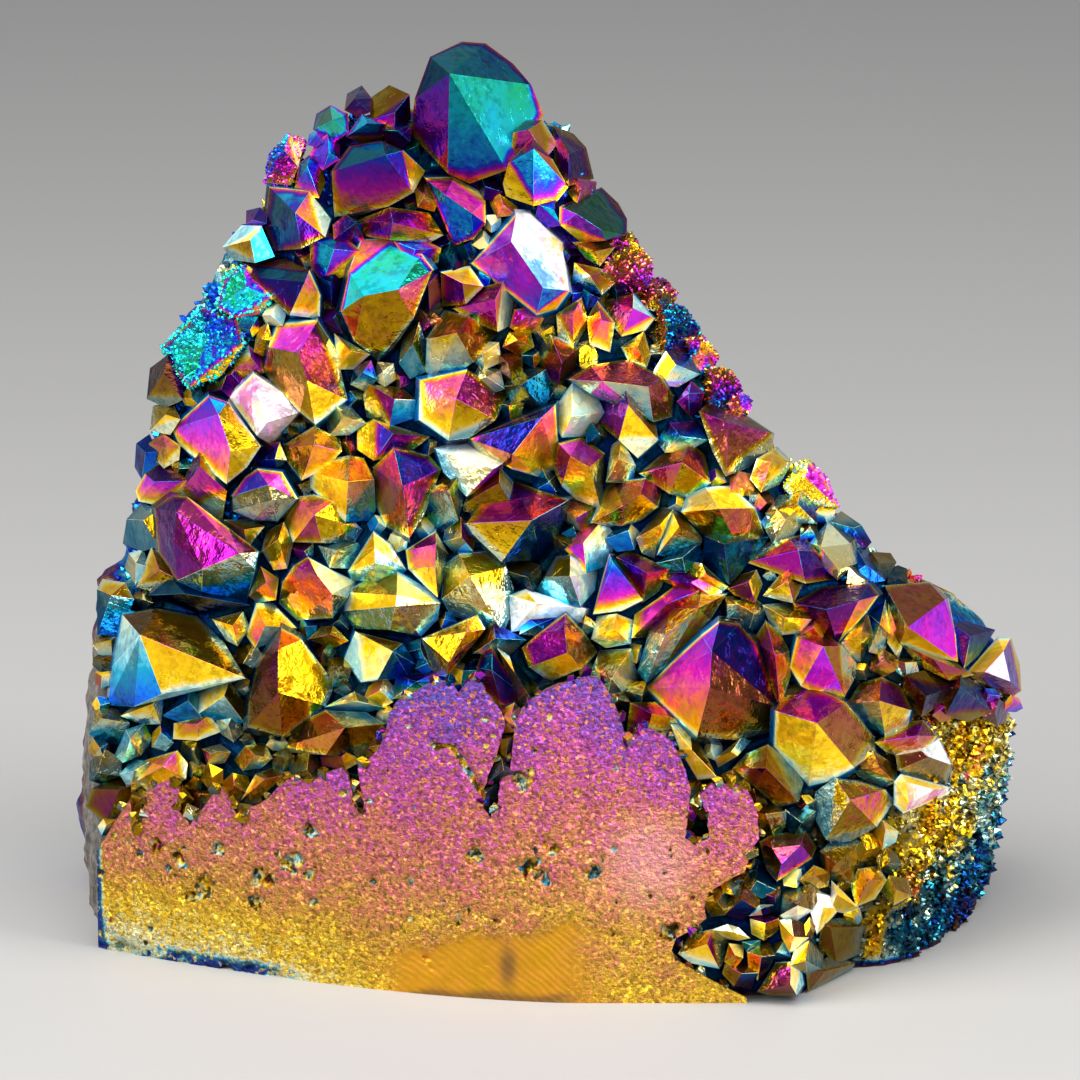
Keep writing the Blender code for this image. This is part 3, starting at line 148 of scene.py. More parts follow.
# Each crystal: its tones, how far its tips stand over its rim, then tips | rim, seen. A star is rough.
# Tones are letters of film, either four for the left facets' top and bottom and the right ones',
# or one group a facet: the rim corner it starts at (t is the top), its two letters, its brightness.
# The brightness digit is painted light and shade on the facet; a plus paints it as a whitened highlight.
crystalRows = """
2cc5 6Gc9 8GB4 10Bm5 1cB4 8 | -12.5 116.2 | -17.4 108.5, -17 113, -15 118.4, -11 120.3, -8 120.1,
-4.5 117.5, -2.2 114.8, -0.6 111, -5.3 104, -10 102.3, -12.8 103.6
GGGc 2.2 | -27.2 110.4 | -29.6 109.2, -29.2 111.2, -27.4 112.3, -25.2 111.2, -25 108.8, -27 107.6
cccB 2.4 | -22.8 110 | -25.5 108.3, -23.5 111.2, -20.5 109.9, -20.8 108.4, -23.5 107.4
1cB5 4Bm9 6cg5 6 | -20.5 106 | -27 98.2, -27.3 104, -25 107.2, -21 107.8, -18.3 106.6, -15.5 104,
-17 101.3, -20 99.6, -24 98.4
GmBm 2 | -30.3 104.6 | -31.9 102, -31.3 105, -30 106, -28.5 105, -28 102.5, -28.8 100.6, -31 100.8
cvmg* 2.2 | -33.2 106.6 | -35.5 102.5, -34.9 106, -32.6 108.5, -30.6 107.8, -31.4 104.5, -32.4 102.2
6cB5 2Bv6 3my8 5cm8 3.4 | -31.8 98.8 | -35.6 97, -34.3 94, -31 94.3, -28 95.8, -27.3 98, -30 101.5, -35 102
0yw9 2tt9 4ry8 2.2 | -37.4 95.4 | -41 94.5, -38.5 97.3, -36 97.2, -34.3 93.3, -36.8 92.5, -39.5 92.9
1vm7 3mg6 5mv5 2.6 | -19.6 97.6 | -24 97.9, -20 99.5, -15 98.8, -13.2 96, -15 95, -20 95.4, -23 95.9
0mm8 4cB5 4 | -13 101, -9.8 98.8 | -15.6 103.2, -12 103.3, -9 101.7, -8 100.3, -8 97.5, -9.5 95.6,
-12 94.5, -13.9 99.2
rgrg 1.2 | -15.6 100.9 | -17 102.3, -15.6 102.8, -14 100, -14.4 98.9, -16.5 99.5
grgr 1.3 | -5.8 99.8 | -7.6 100.2, -6.3 101.2, -4 99.6, -4.1 98.5, -6.6 98.2
1mm4 3gm7 4cv9 6cB6 4 | -2 106.8 | -5.9 102.4, -5.2 105, -2.2 108.3, 0.4 105.5, 2.4 102, 1 100.2, -2 99.6,
-5.5 100.8
1mm3 3gr8 5mm5 2.4 | -2.6 109.2 | -5 105.8, -4.6 108.8, -3 110.4, -0.8 110.4, 1 107.4, -0.4 105.6
0vB4 2Bv5 4vm5 3 | 2.4 106.2 | 0.3 109.9, 3 108.7, 4.6 107, 5.6 103, 2.4 102.1, 0.6 105
mgmr 1.8 | 4 101.9 | 2.2 101.4, 3.6 103.1, 5.9 102.7, 5.7 100.5, 3.4 99.8
0GG4 5mB8 3.6 | 3.4 98.6, 6.5 96.7 | 1.2 99.6, 6.5 102, 8.6 100, 9.7 98, 9.7 96, 7 95.3, 4 95, 1.1 97.4
0mB9 2cc+ 6cB9 8mB8 5.2 | -4.8 95.2, -0.8 89.4 | -9.8 92.5, -6 97.5, -4.2 98.6, -2.4 98.6, 1.6 95, 1.8 91,
2.4 89, 0.8 86.8, -1.6 86.1, -4.9 90
vmmg 1.6 | -3 85.8 | -5 84.5, -4.4 86.7, -2 87.2, -0.7 85.6, -1.6 83.9, -3.8 83.4
2my8 5Bv5 7cB4 3.4 | -30.6 90.2 | -38 92.4, -33 93, -30 91.6, -28.6 88.5, -28.7 85.5, -32.5 86, -35.5 88.8,
-37.6 90.9
0GG9 2mG8 4cG8 * 2.6 | -38 89.6 | -41.6 87, -40.6 91, -38 92.4, -35.4 90.8, -34.6 88, -36.5 86, -39.5 85.6
cGBc* 4 | -43 82.6 | -48.4 82, -45.2 84.9, -43.5 87, -39 85.5, -38 82.5, -41 78.4, -45 76.9, -47 79.2
0kk5 2kk4 4gg4 2.6 | -48.3 78.8 | -50.4 75.5, -50 79.4, -47.6 81.2, -45.8 78.5, -45.8 75.4, -48 74.4
1cB7 2gy6 5Bg9 5 | -41.4 73.6, -40 69 | -47.2 71.8, -42.6 76, -40.2 75.2, -36 69.6, -37.8 66.9, -40.2 64.9,
-43.5 67.8, -46.3 69.7
0mm+ 1mr+ 3rm+ 5mm+ 3.4 | -36.4 76.2, -35.3 72.6 | -40.1 75.7, -37 78.8, -33.5 76.4, -31.4 73.8,
-34.8 69.8, -36.6 70.9, -38.2 73.3
1mm8 3mr7 5ry8 7gg5 5.4 | -31.3 81.4, -30.4 77.8 | -35.9 79, -35.2 82, -34 85, -29 85.4, -26.8 82,
-25.2 75.4, -28 74.2, -29.3 72.2, -31.2 73.8
gggg 1.6 | -35.9 83 | -37 81.4, -36.5 84.3, -35.2 85, -34.6 82.8, -35.6 80.7
ygyg 1.8 | -24.9 81.5 | -26.9 83.7, -22.4 81.1, -24.5 79.2, -26.6 79.2
1gr6 3rg7 5gr7 3.2 | -29.4 69.8 | -34 69.3, -29.4 72.2, -26.2 70.6, -25.9 69, -28 66.8, -31 65.3
wyyw 2 | -25.7 73.3 | -28.1 73, -27 75.2, -25 74.8, -22.9 72.5, -25 71, -27.5 70.9
mymy 1.7 | -47.9 69.4 | -50.1 70, -48.4 71.3, -46.1 69.7, -46.3 67.9, -48.2 66.8, -49.8 68.4
nnnt 2 | -50.5 68.8 | -51.9 67, -51.7 70, -50 71.2, -49 69, -49.5 66.3, -51 65.4
yyyy 1.8 | -48 73.6 | -50 71.5, -49.6 74.7, -47.2 75.2, -46.1 73, -47.4 71
0Gc8 1Gc9 5mg6 7gg5 5.2 | -23.2 88.4, -19 89.2 | -26.2 86.5, -25.1 91.5, -23.5 95.4, -20 95.4, -16 93.6,
-14.6 91.6, -17 88, -17 85.5, -19.5 81.8, -21.5 80.1, -24.5 82.8
cmcm 1.8 | -16.8 94.2 | -19.6 95.3, -16.5 95.8, -13.5 94.4, -13.9 92.5, -17.5 92.2
rrrr 1.3 | -17 91.5 | -18.7 91.8, -16.6 92.6, -15 91.2, -16.6 89.8, -18.3 90.3
nnkk 1.8 | -15.2 89.8 | -17 88, -16.1 91.3, -14 91.2, -13.3 88.4, -15 86.4
0gg9 2rg5 3mv7 2.4 | -10.9 90 | -13.6 91.4, -10 92.2, -8.2 89.6, -10.5 87.3, -13.4 87.1
0mv6 2mg9 5mm5 3.2 | -6.8 88 | -12.1 86.8, -8.6 89.5, -5.8 90.2, -4.5 88, -4.9 84.7, -6.5 83.9, -9.5 85.1
1gg7 3gg5 5gt6 7gs5 4.2 | -11.6 83.8 | -15.6 79, -15.4 83, -13.1 86.7, -10 85.9, -6.4 83.8, -9.5 80.1,
-12 78.4, -14.6 77.6
0gs4 2gg4 4st5 1.8 | -17.1 82.4 | -18.9 80, -18.3 84, -16.3 85.2, -15.2 82, -15.5 78.8, -17.4 78
yryr 1.3 | -4 82.9 | -5.9 82, -5.1 83.9, -2.3 83.8, -1.9 82, -3.8 81
wswy 1.6 | -8.2 81.3 | -10 80.6, -9 82.8, -6.3 82.6, -6 80.1, -8.2 79.1
wwws 1.5 | -7.9 78.3 | -9.9 77.5, -8.9 79.7, -6.1 79.2, -5.6 76.8, -7.8 76
1mr5 3ry6 5my9 4.4 | -11.7 75.6 | -16.2 77.9, -10.3 79.2, -5.1 76.1, -6.7 72.9, -10 70.6, -12.7 70.3,
-16.4 72.9
1gg4 3wb9 5mv4 2.6 | -19.4 75.5 | -23.4 76, -22.6 77.4, -18.5 77, -16.7 75.4, -16.9 73.1, -20 72.1,
-22.9 73.2
kgkg 1.7 | -23.3 78.8 | -24.9 77.3, -24.3 80, -22.3 80.4, -21.5 78, -23 76.4
wwww 1.3 | -20.8 79 | -22.1 78, -21.5 80.2, -19.5 80, -19.1 78, -20.6 77
1gr6 2vm6 4Bv7 2.2 | -19.6 71.2 | -24.1 72, -22 73, -14.9 70.8, -17 69.1, -22 67.8, -24.1 69.2
0Bv6 1my8 5mg5 4.6 | -1 73.2, -4.6 68.6 | -10.1 70.6, 0.7 74.9, 1.1 70, 1 66.9, -1.5 65.8, -4.8 66.8, -9 69
0ww+ 2vm9 4ww9 3.2 | -7 66.8 | -14.3 69.3, -10 70, -5.7 67.5, -6.1 65.7, -10.4 63.3, -13.3 66.4
1Bv5 3mr6 6mg7 5 | -18.4 64.6 | -22.1 67, -19.5 69.5, -15 68.5, -13.5 66.8, -14.9 63.2, -15.7 60.9,
-17.5 58.1, -20.5 59.6, -21.9 62.5
0gs4 2gs5 4ws6 3.2 | -12.6 64.2 | -15 63.8, -13 66.5, -11.2 66.2, -10.7 63, -11.4 60.3, -13.5 58.8, -15.9 61
0yy8 2rg5 4gs6 7yg9 4.2 | -25.2 65.2 | -30.1 66.5, -27.8 68, -25 68.5, -23.2 68.2, -21.9 65.5, -21.7 61.5,
-22.5 60.3, -25.5 60.1, -28 62.6, -29.9 64.4
1rm8 3gy6 6mr5 7my9 3.6 | -29.4 61 | -33.1 60.3, -31.7 63.3, -29.5 63.6, -27 62.8, -23.3 59.2, -24.3 57.6,
-28.5 57.5, -32.1 57.6
tgtg 2 | -26.6 56.6 | -28.9 57.2, -26.5 58.2, -23.9 57.6, -23.3 56, -25 54.3, -27.5 54.4
3ys8 6gt7 7mg7 4.4 | -29 53.4, -27.2 51.2 | -33.9 50, -33.4 52.6, -32 54.7, -30.2 55.8, -26.8 54,
-24.1 52.7, -25.3 50.7, -27.1 48.1, -31.5 47.8
0yw9 2wt9 4gs7 6yg8 3.2 | -21.9 56.8, -21.8 55 | -22 59, -19.9 57.3, -17.9 54.2, -19 52.8, -21.8 52.6,
-24.7 52.8, -25.2 54, -23.6 56.6
1ys7 4rg8 6mg8 3.4 | -14.2 57.4, -14.3 54.6 | -18 56.6, -14.2 59, -12.4 56, -13.4 53, -14 50.7, -15.5 52,
-17.7 54.3
0gg7 2yw9 4gs6 7ss6 9yg8 5 | -19.1 51, -19.3 49.6 | -25.5 51.4, -22.5 53.2, -19 54, -15 51.7, -13.6 50,
-13.9 48, -16 45.8, -20 46.6, -24.5 46.8, -25.7 49
1yg8 3gs6 6ys7 9wr8 4.8 | -10 53.4 | -13.4 54.7, -11.3 56.2, -8 56.5, -5.4 54.6, -4.4 52, -4.9 48.2,
-5.8 46.2, -8.5 47.6, -12.5 48.6, -13.5 50.5
0vr5 3tb4 6ry7 5.4 | -2.2 60.4 | -10.4 60, -8.6 62.4, -4.6 65.3, 2.4 62.9, 1.1 58, -1 55.3, -6 55.1,
-9.6 58.6
0gg4 2yt9 4gg4 2.6 | -6.3 65 | -10.8 62.4, -10 64.2, -6.2 67, -4.1 64.6, -4.2 61.4, -8.5 60.9, -10.9 61.5
1gs5 3ws8 6st7 3.6 | 2.6 53.4 | -2 51.4, -0.6 53.3, 0.8 55.9, 2.6 56, 6 53.9, 5.7 51.6, 3.9 49.6, 0 50.1
0yw9 1ww+ 3sw+ 6ws+ 1.8 | -1.6 50 | -5.1 51, -3 51.8, 2 50, 4.6 49.3, 4 47.6, 0 48, -3 48.4, -4.8 46.4
kyky 0.9 | -1.5 47.3 | -3.4 48.6, 1.2 48.4, 0.8 45.8, -3.8 46.1
0mv6 2rg6 5gy7 7mv6 4.4 | 1.9 46.6, 2.2 43.8 | -3.5 44.4, -1.2 46.4, 2 48.7, 4.4 46.3, 6.1 43.9, 4 41.8,
0 40.1, -2.6 42
rgkg 2.8 | -6.8 45.6 | -9.9 46, -7 47.6, -4.4 46, -2.9 45.4, -5 43.5, -7.5 44.4, -9.6 43.7
0gy7 2rr5 4yg7 3.6 | -10.4 46.4, -12.6 42.6 | -16 45.6, -9 48.6, -8 46.8, -9.8 44.5, -12.8 40.8, -14.4 41,
-15.2 43.9
0cv7 2Bv7 5Bm7 3 | -7.2 41.6 | -9.1 42, -8.2 44.6, -7.2 44.4, -3.9 39, -4.1 37.2, -5.9 37, -9 39.7
0yg8 1tt4 3gs5 2 | -4.4 41.4 | -6.6 44.5, -5 43.4, -1.8 39.9, -2.2 37.8, -3.8 37.1
kgkr 1.6 | -16.6 40.2 | -19.7 38, -19.2 41, -14 41.4, -12 40.4, -14.5 38.6
1gg6 3tb7 6yw9 4.2 | -19.6 44 | -25.7 43, -24.3 46.5, -20 45.2, -18.4 45, -16.6 42.3, -17.4 40.6,
-21.5 40.4, -23.6 40.1
gggg 1.5 | -27.4 46.1 | -30.2 45.5, -28.5 47.1, -27 47.2, -25.1 45.3, -27 44.4
3gy6 7yg6 9mg4 6 | -33.9 44.2, -34 38.8 | -37.8 34.4, -37.7 37.5, -36.6 42, -33.5 46.9, -31 45.6, -28 41.6,
-26.9 39.5, -27.9 37.1, -32 35.3, -33.5 33.3
2gg5 6gy9 8wb9 8 | -51.2 46 | -55.3 37.2, -54.8 42, -53.5 48.7, -49 49.4, -44 48.5, -40.5 45, -37.9 40.6,
-43 39.6, -48.5 38.6, -52 37
gyty 2 | -49.6 37.4 | -53.7 35.9, -50 38.7, -48.1 38.7, -48.6 34.9, -50.8 34.8
tbts 2.4 | -45.2 37.8 | -48.5 35.9, -45 39.4, -43.4 38.1, -43.4 35.7, -46 35
1gg6 3wt8 5yy9 3 | -40.7 38.4 | -44.1 38.7, -40 40.4, -37.7 37, -38.1 35, -41.8 35.4, -43.9 36.2
rgrg 1.4 | -44 34.9 | -47 35, -42.5 36, -40.8 34, -44 32.8, -47.1 33
swws 1.4 | -40.2 34.8 | -42 36, -39.4 36.4, -38.1 34, -39.5 32.6, -41.1 33.7
2wg6 4gg3 7rg6 4.6 | -25.6 34.4 | -33.4 32, -31 35.4, -28 36.6, -23 36.4, -20.6 34.9, -20.6 33, -23 30.4,
-28 31, -33 31.4
kkgg 1.6 | -26 30.8 | -28.8 31.3, -25 31.6, -23.6 30.2, -25.5 29.1, -28.5 29.7
gtgt 1.8 | -24 37.8 | -28.2 37, -24.4 39, -20.6 36.9, -24 36.1
yyyw 2.4 | -39.6 47.2 | -42.2 48, -38.3 49, -37.4 47, -39 44.6, -40.4 45.3
1yg8 3ws8 5ym9 3 | -35.6 47.2 | -38 46, -36.7 50, -34.7 50.1, -31.6 46.9, -34 45.1, -36.8 44.4
0yg8 2gg6 3sb6 5sb7 2.4 | -54.8 51 | -56.6 51.8, -55.9 53.1, -53 52.6, -51.9 50.5, -53.5 45.8, -56.6 46
1ss6 3gg5 4st6 2.6 | -50.8 60.4 | -53.4 57.4, -52.9 60.5, -51 62.7, -48.9 61.6, -48.9 57, -51 56.4
wwss 1.6 | -51.7 55 | -53.1 54.4, -52.6 56.3, -50.8 56.8, -50 54.5, -51.8 52.2
gggg 2.4 | -48.8 54.2 | -51.7 52, -49.8 57.1, -47.8 55.5, -46.2 52.8, -49.5 51.4
tmm7 2mr7 4gt7 8vm5 5 | -46.6 61.4, -38.8 56.2, -43.4 54.2, -47 57.6 | -49.4 61.9, -47.2 63.5, -45.4 63.3,
-40 59.5, -36.3 56.4, -36.7 54.2, -37.9 49.9, -43.5 51.4, -46.6 52.8, -48.9 56.4
0tb5 1tb5 3bn3 3 | -45.6 51.2 | -50.2 51, -47.5 53.2, -43 52.2, -37.3 49.7, -43.5 48.6
1vv4 3Gy9 6Gy9 3 | -49.4 65.2 | -51.8 64, -50.6 66.2, -48.2 67.8, -45 65.3, -45.8 63.2, -49 62.2, -51.4 62.7
1gs4 3mm7 6Bm6 3.2 | -43.7 67 | -45.2 66.8, -43.8 68.9, -42.4 68.2, -40.3 64, -40.9 60.2, -44 61.8, -46.2 64
0Bv8 2mm9 4gs5 3.8 | -35.2 64.8, -34.6 62.9 | -39.7 63.4, -38.1 65.7, -36.5 66.8, -33.4 66.4, -31.4 63,
-34 60.2, -37 60.4, -39.6 61.5
rryg 2 | -38.2 59.2 | -40.7 60.4, -37 60.4, -35.6 59.6, -37.8 56.8, -39.8 57.9
gyyg 2.6 | -33.9 58 | -35.4 59, -33.2 60.2, -32 57.5, -32.8 54.3, -34.5 54.1, -36 56.5
grrg 2.2 | -35.4 52.6 | -37.6 50.9, -36.1 54.6, -33.8 53.1, -34.2 50.4, -36.5 50
gggg 1.9 | 5.8 94 | 2.9 95.1, 6.5 95.4, 8.2 94.5, 6.3 92.1, 4.5 93.1
vkmg 1.8 | 5.1 90.9 | 3.1 92.6, 7 91.7, 8.2 90, 6.5 88.5, 2.8 89.9
gvmg 2 | 2.9 86 | 0.8 86.1, 4 88.2, 5 85, 3 81.8, 1 83.4
gmvg 2 | 6.5 85.4 | 4.6 85.6, 6 87.8, 8.2 85, 7.6 81.3, 5 82.3
1ss9 2mv9 4mr5 2.8 | 10.4 86.9 | 7 87.9, 10.5 88.7, 13.2 85.6, 12 84.1, 9 83.3, 7.2 85.4
yygy 2 | 11 82 | 8.9 82, 11.8 84, 12.7 81, 12.1 79.4, 9.9 80.1
ggkg 2.2 | 15.8 79.8 | 12.9 79, 14.5 81.6, 17.5 81.2, 18.8 78.6, 16 77, 13.7 77.2
vmvv 1.8 | 17.4 76.2 | 15.9 75.2, 17.7 77.8, 19.4 76.3, 18.8 74.2, 17.5 73.3
0mr5 3rg6 6yt7 5 | 6.6 77.8, 12.4 77 | 2.3 78, 5 79.8, 10 80.5, 14 78.2, 15.5 76, 15.3 73.3, 13 72.6,
10 75, 5 76.2
1rg7 3yg9 5vm6 4.6 | 9.8 74.8 | 6 76.1, 9.8 76.6, 13.2 73, 13.6 70.4, 11 68.1, 8.6 70.4, 6.2 72.5
0rg4 3vg7 6vg7 4.4 | 22.4 72.6 | 18.6 74, 20 75.4, 25 73.2, 28 71.2, 27.7 69.4, 25 67, 22 65.8, 20.3 69
kgkg 2.2 | 16.3 70.9 | 13.3 70.3, 15 72.6, 18.2 72.8, 19.9 70.4, 17 68.8, 14.4 68.8
0rr6 2mg5 4gg6 6mr6 3.4 | 16.6 67.6 | 11.1 66.2, 14 68.6, 17.5 70, 19.4 68.6, 20.2 65, 17.5 63, 15 63.6,
13.8 65.1
ywyw 2.2 | 8.6 68 | 7 65.1, 7.7 69.7, 9 70.7, 10.8 67.2, 10.4 65
1mr8 3gs6 5gy8 7mm6 4.2 | 2.6 68.4, 5 67 | 0.4 67, 1.1 70, 4 70.8, 6.9 68.7, 6.8 65.5, 6.4 61.7, 3.2 63,
1.5 64.6
gmyg 2.4 | 27.6 67.6 | 25 65.5, 25.9 68.1, 28.4 69.6, 30.4 67.6, 28.7 64.8, 26.4 63.8
0yg9 2mm9 4gy8 * 3 | 32 65.8 | 29.3 64.3, 30.6 67.2, 32.4 67.8, 34.6 65.4, 36.1 61.9, 33.5 62.2, 30.5 63
0rg8 3mr6 5gg4 7gg6 4.2 | 11.4 63.8, 9.2 62.2 | 5.1 60, 6.9 64.3, 8 65.2, 12 65.6, 14.2 64.8, 13.6 62,
11.5 60.3, 9 59.6
yyyg 2.4 | 13.8 59.8 | 10.8 58.1, 14 62, 15.5 61.8, 14.3 58.6, 13 55.6, 11.5 56.2
0yy9 1gg5 3gs5 3 | 16.2 59.6 | 13.4 56, 15.2 61.8, 17 60.8, 19.2 58, 18.6 56.6, 15.5 55.6
0yy8 2yg9 4rr7 6gg5 4.4 | 21.2 61.8 | 16.4 61.4, 17.1 63.4, 19.5 64.5, 22.7 64.7, 25.7 61.9, 27 58.3,
23 58.2, 19.1 58.4
0tt5 2tb4 4bt4 4 | 21.8 57.4 | 19.4 58.4, 21.5 59.2, 27.5 58.3, 25.7 56, 22.5 52.2, 19.9 53.9, 19.1 56.2
tttt 1.8 | 16.6 55.7 | 12.9 54.9, 15.5 56.2, 18.6 57.4, 19.4 55.5, 17 53.8, 14.4 53.8
gggg 1.6 | 19.6 53.6 | 16.3 55.5, 19 55, 22.4 52, 21.2 51.1, 18.4 52.9
ywwy 2.4 | 29.5 60.5 | 26.4 60.2, 28 62.2, 31.1 61.9, 31.7 59.8, 29.8 57.7, 27.9 57.4
gggk 2.4 | 31 62.4 | 26.9 61.2, 28.6 63.4, 31.4 64.2, 33.6 62, 33.5 59.9, 29.8 60
0mr5 2vm6 4Bv6 6mm6 4 | 31.1 56.6 | 24.5 55.1, 27 57.6, 29.8 58.1, 31.6 58.6, 33.4 56.5, 36 53.1, 32 52.4,
28 54.6
wwww 3 | 33.9 57, 37.6 57.4, 36.1 54.2 | 32.5 57.6, 34.8 60.3, 38.5 58.2, 38.5 55, 36 52.8, 34.1 54.5
wwww 1.4 | 38.4 53.6 | 37.1 52.4, 37.4 54.6, 38.9 54.4, 40.2 52.4
gkgk 1.8 | 38 59.4 | 35 60.2, 36.4 61.6, 39 59.8, 40.3 57.6, 39.6 56.8, 37 58.4
bbtb 1.8 | 39.6 54.8 | 38.3 57, 39.9 57, 39.9 54.4, 42 52.8, 40 52.4, 38.6 54.1
0vm5 2BB5 3my8 5vm5 4.6 | 38.6 50.3, 34.6 49.2 | 30.4 50, 34 52, 40 52.5, 41.2 51, 39.7 48.9, 36 44.8,
33.3 47, 30.6 48.7
0rg6 2vm9 4ry9 6tg5 5.4 | 49.4 50.4, 44.8 47 | 41.8 52.3, 47.5 52.7, 49.9 50.7, 50.8 46, 51.1 42.6,
47 43.4, 43.8 45, 42.8 48
0gy6 2mr6 3rm6 2.4 | 48 43 | 43.9 45, 50.9 42.6, 53.2 41, 50 40.3, 46 42.2
gygy 2.6 | 39 46.4 | 36.4 45, 39.7 49.2, 40.5 46, 38.8 42.6, 37.6 43.2
kgyg 2.4 | 41.3 47.4 | 39.7 48.8, 42 50.4, 42.7 46, 41.6 43.4, 39.9 43.9
mgyg 2 | 43.3 46.8 | 42.3 50, 43.7 48.6, 44.5 45.5, 43.6 43, 42.2 45
rrgr 1.8 | 41.8 42.9 | 40 41.7, 40.3 43.3, 41.7 44.3, 43.3 43.3, 43.5 41.7, 41.8 40.8
nkkg* 2.6 | 52.6 45.8 | 50.3 47.5, 52 47.8, 55.8 46.7, 53.7 43.5, 51.8 41.8, 50.7 44.3
tmr+ 0yr9 2vv7 4vm6 6yr8 3.6 | 56.7 44, 57.6 40.2, 54.4 41.4 | 52.1 41.4, 56 45.8, 57.7 45.8, 58.8 42.4,
59 39, 57.6 38.1, 54.5 39.8, 53 40.4
1rg6 3gr7 6vm9 8my9 4.2 | 34.2 44.6 | 30 42, 30.9 45.8, 34.2 46.4, 36.5 44.7, 38.4 42.5, 38.2 40.7,
36.9 38.3, 34.5 38, 31.4 39.6
0vr6 3rg6 6gy9 7 | 33.4 35 | 28.2 36.6, 30 39.7, 31.7 40.1, 37.1 37.6, 40.6 33.3, 40.8 31.4, 38.1 29.4,
35 27.7, 32.4 27.1, 28 32
3Bv4 7mg4 10By9 7.4 | 20.3 44, 20 39.4 | 12 39.4, 15.2 42.5, 19 46, 21.2 47.7, 23.7 47.4, 25.8 45, 27.4 41,
28.6 37, 28 34, 23.5 32.8, 18.4 33.2, 17.6 36
gtgm* 3.4 | 14.4 46, 18.6 49.4 | 11 41.5, 12.4 46.6, 15 49.4, 19 51.4, 22.2 51.2, 20.1 48, 16.5 44.8,
14 41.6, 12 39.9
vmvr 2.6 | 14.6 49.9 | 10.2 45.6, 10.6 48.6, 14 50.9, 17.4 53.6, 19.2 51.8, 15 49.6, 12.8 45.8
0cr9 2cm7 5cr9 3.6 | 7.9 55 | 5.4 48.6, 6.3 52, 7.5 56.1, 8.5 56, 10.1 53, 11.8 50.4, 9 49
0mv5 3mg6 5mm5 3 | 12.2 53.8 | 8.3 55.8, 10 56.6, 12 55.6, 15 54.3, 13.7 51.5, 11.6 50, 9.9 52.6
yygw 2.4 | 8 46.9 | 5.2 45.5, 5.9 48.4, 8.4 48.7, 10.5 47.9, 10.2 44.9, 7 44.4
0mv5 2mr5 4vm5 1.6 | 17.6 52.6 | 13.6 53, 15.4 54.8, 19 53.2, 22.2 52.4, 21 50.4, 17.8 51.2
gmyg 2.2 | 24.9 52.7 | 22.2 51.8, 24 53.6, 25.9 54.2, 26.7 52.4, 25.7 50, 23.1 51
mwwm 2.6 | 29.8 52.8 | 26.6 50.9, 29.9 55, 31.7 52.3, 30.5 50, 28 50.8
gwwg 2.4 | 29.4 48.2 | 26.6 49.8, 30.9 50.2, 32.8 48, 31.5 46.2, 29.1 46, 27.6 47.3
mgyy 1.6 | 33 47 | 31.2 45.9, 31.7 47.5, 33.2 48.1, 34.6 46.8, 34.1 45.6
1rg6 3gr6 5rm7 3 | 28.2 43.4 | 25.4 45.4, 27 47.8, 28.7 46.5, 30 44, 30.2 41, 28.8 36.8, 27.7 39.5, 26.9 42
0rg6 2mv5 4gy7 6gt5 4.4 | 41.2 37.8 | 37.2 37.4, 38.7 40, 41.5 40.8, 44 39.5, 45.2 36.6, 44.7 34.2,
42 33.2, 39.5 34.8
vgmg 3 | 46 33.4 | 40.6 32.6, 44.4 33.8, 45.1 35.2, 46.7 35.4, 48.5 33.4, 47 31.6, 44 30.8, 42 31.4
1ss+ 3gg5 6rr5 3 | 47.4 30.8 | 43.2 31, 46.5 31.6, 48.4 33.6, 50.2 29.8, 49.7 27.4, 45 28.1, 43.5 29.1
tym+ 0yy9 2mm+ 4yy9 3 | 44.6 27.6, 48.2 26.7, 44.9 25 | 43 27.7, 43.9 28.7, 50 27, 49.5 26, 44.2 23.7,
43 24.8
gggg 2.6 | 41.2 29.5 | 37.8 29.3, 40.4 31.6, 43.5 29.6, 43.3 27.6, 41.6 26.8, 38.7 28.2
1gr6 3my8 5gg5 7gs6 * 4.4 | 37.6 25.4 | 33.2 26.5, 35.6 28.2, 38.5 27.8, 41.9 26.7, 43.2 25.4, 40.9 22,
37.6 20.2, 34.5 20.4, 32.8 23.6
0gg6 2gg4 5rg5 7rr5 4.6 | 27 29.4 | 22.8 29.4, 24.5 31.2, 27.3 32.4, 30.8 29.7, 31.8 27.6, 31.1 25.2,
28.6 24.4, 25.5 27
0yy9 1gg5 3yy9 3 | 17.8 31.6 | 15.1 34.9, 17.5 34.8, 19.6 31, 21 28.2, 18.5 27.9, 16.2 31.8
1mg4 3wg7 5mv4 1.8 | 12.8 36.2 | 9.5 33.1, 10 37.6, 16 37.8, 17.6 35.2, 15 34.2, 12.4 34.6
gyty 1.6 | 22.7 31.4 | 20.6 30.6, 24 33.2, 25.2 32.8, 23.5 30.9, 21 29.4
trm7 0rg6 2rr6 4mv7 6rg6 2.8 | 27.8 19.4, 31.4 19.8, 29 17.4 | 26.2 20.2, 28 21.2, 32 21.6, 33.4 19.6,
32.8 18.1, 29.6 16.4, 28.4 15.2, 27 16.8
gygy 1.8 | 33.2 15.9 | 31.2 15.4, 33 17.2, 35.2 16.4, 34.8 14.6, 32.4 14
0gt4 2gg5 4yw+ 2.4 | 31 12.2 | 28.8 11, 29.2 14.2, 32.6 14.9, 34.2 13.8, 32.8 11.6, 31 10.4, 29.3 10.4
1ww+ 3yy9 5wy+ 2.2 | 34.2 11.9 | 32.4 12, 33.4 13.8, 35 13.4, 36.4 11.9, 34.8 10.4, 33.4 8.6, 33 10.4
0wy+ 1yy9 3gy8 2.2 | 35.9 13.6 | 35.1 11.6, 35.2 15.4, 36.2 14.4, 38.8 11.8, 36.8 11.2
0wy9 1rg4 3yw9 5yr9 1.8 | 30.5 8.3 | 28.6 10.4, 30.2 10.6, 32 9.9, 32.4 8.2, 31.4 6.7, 30 6.3, 29 8.2
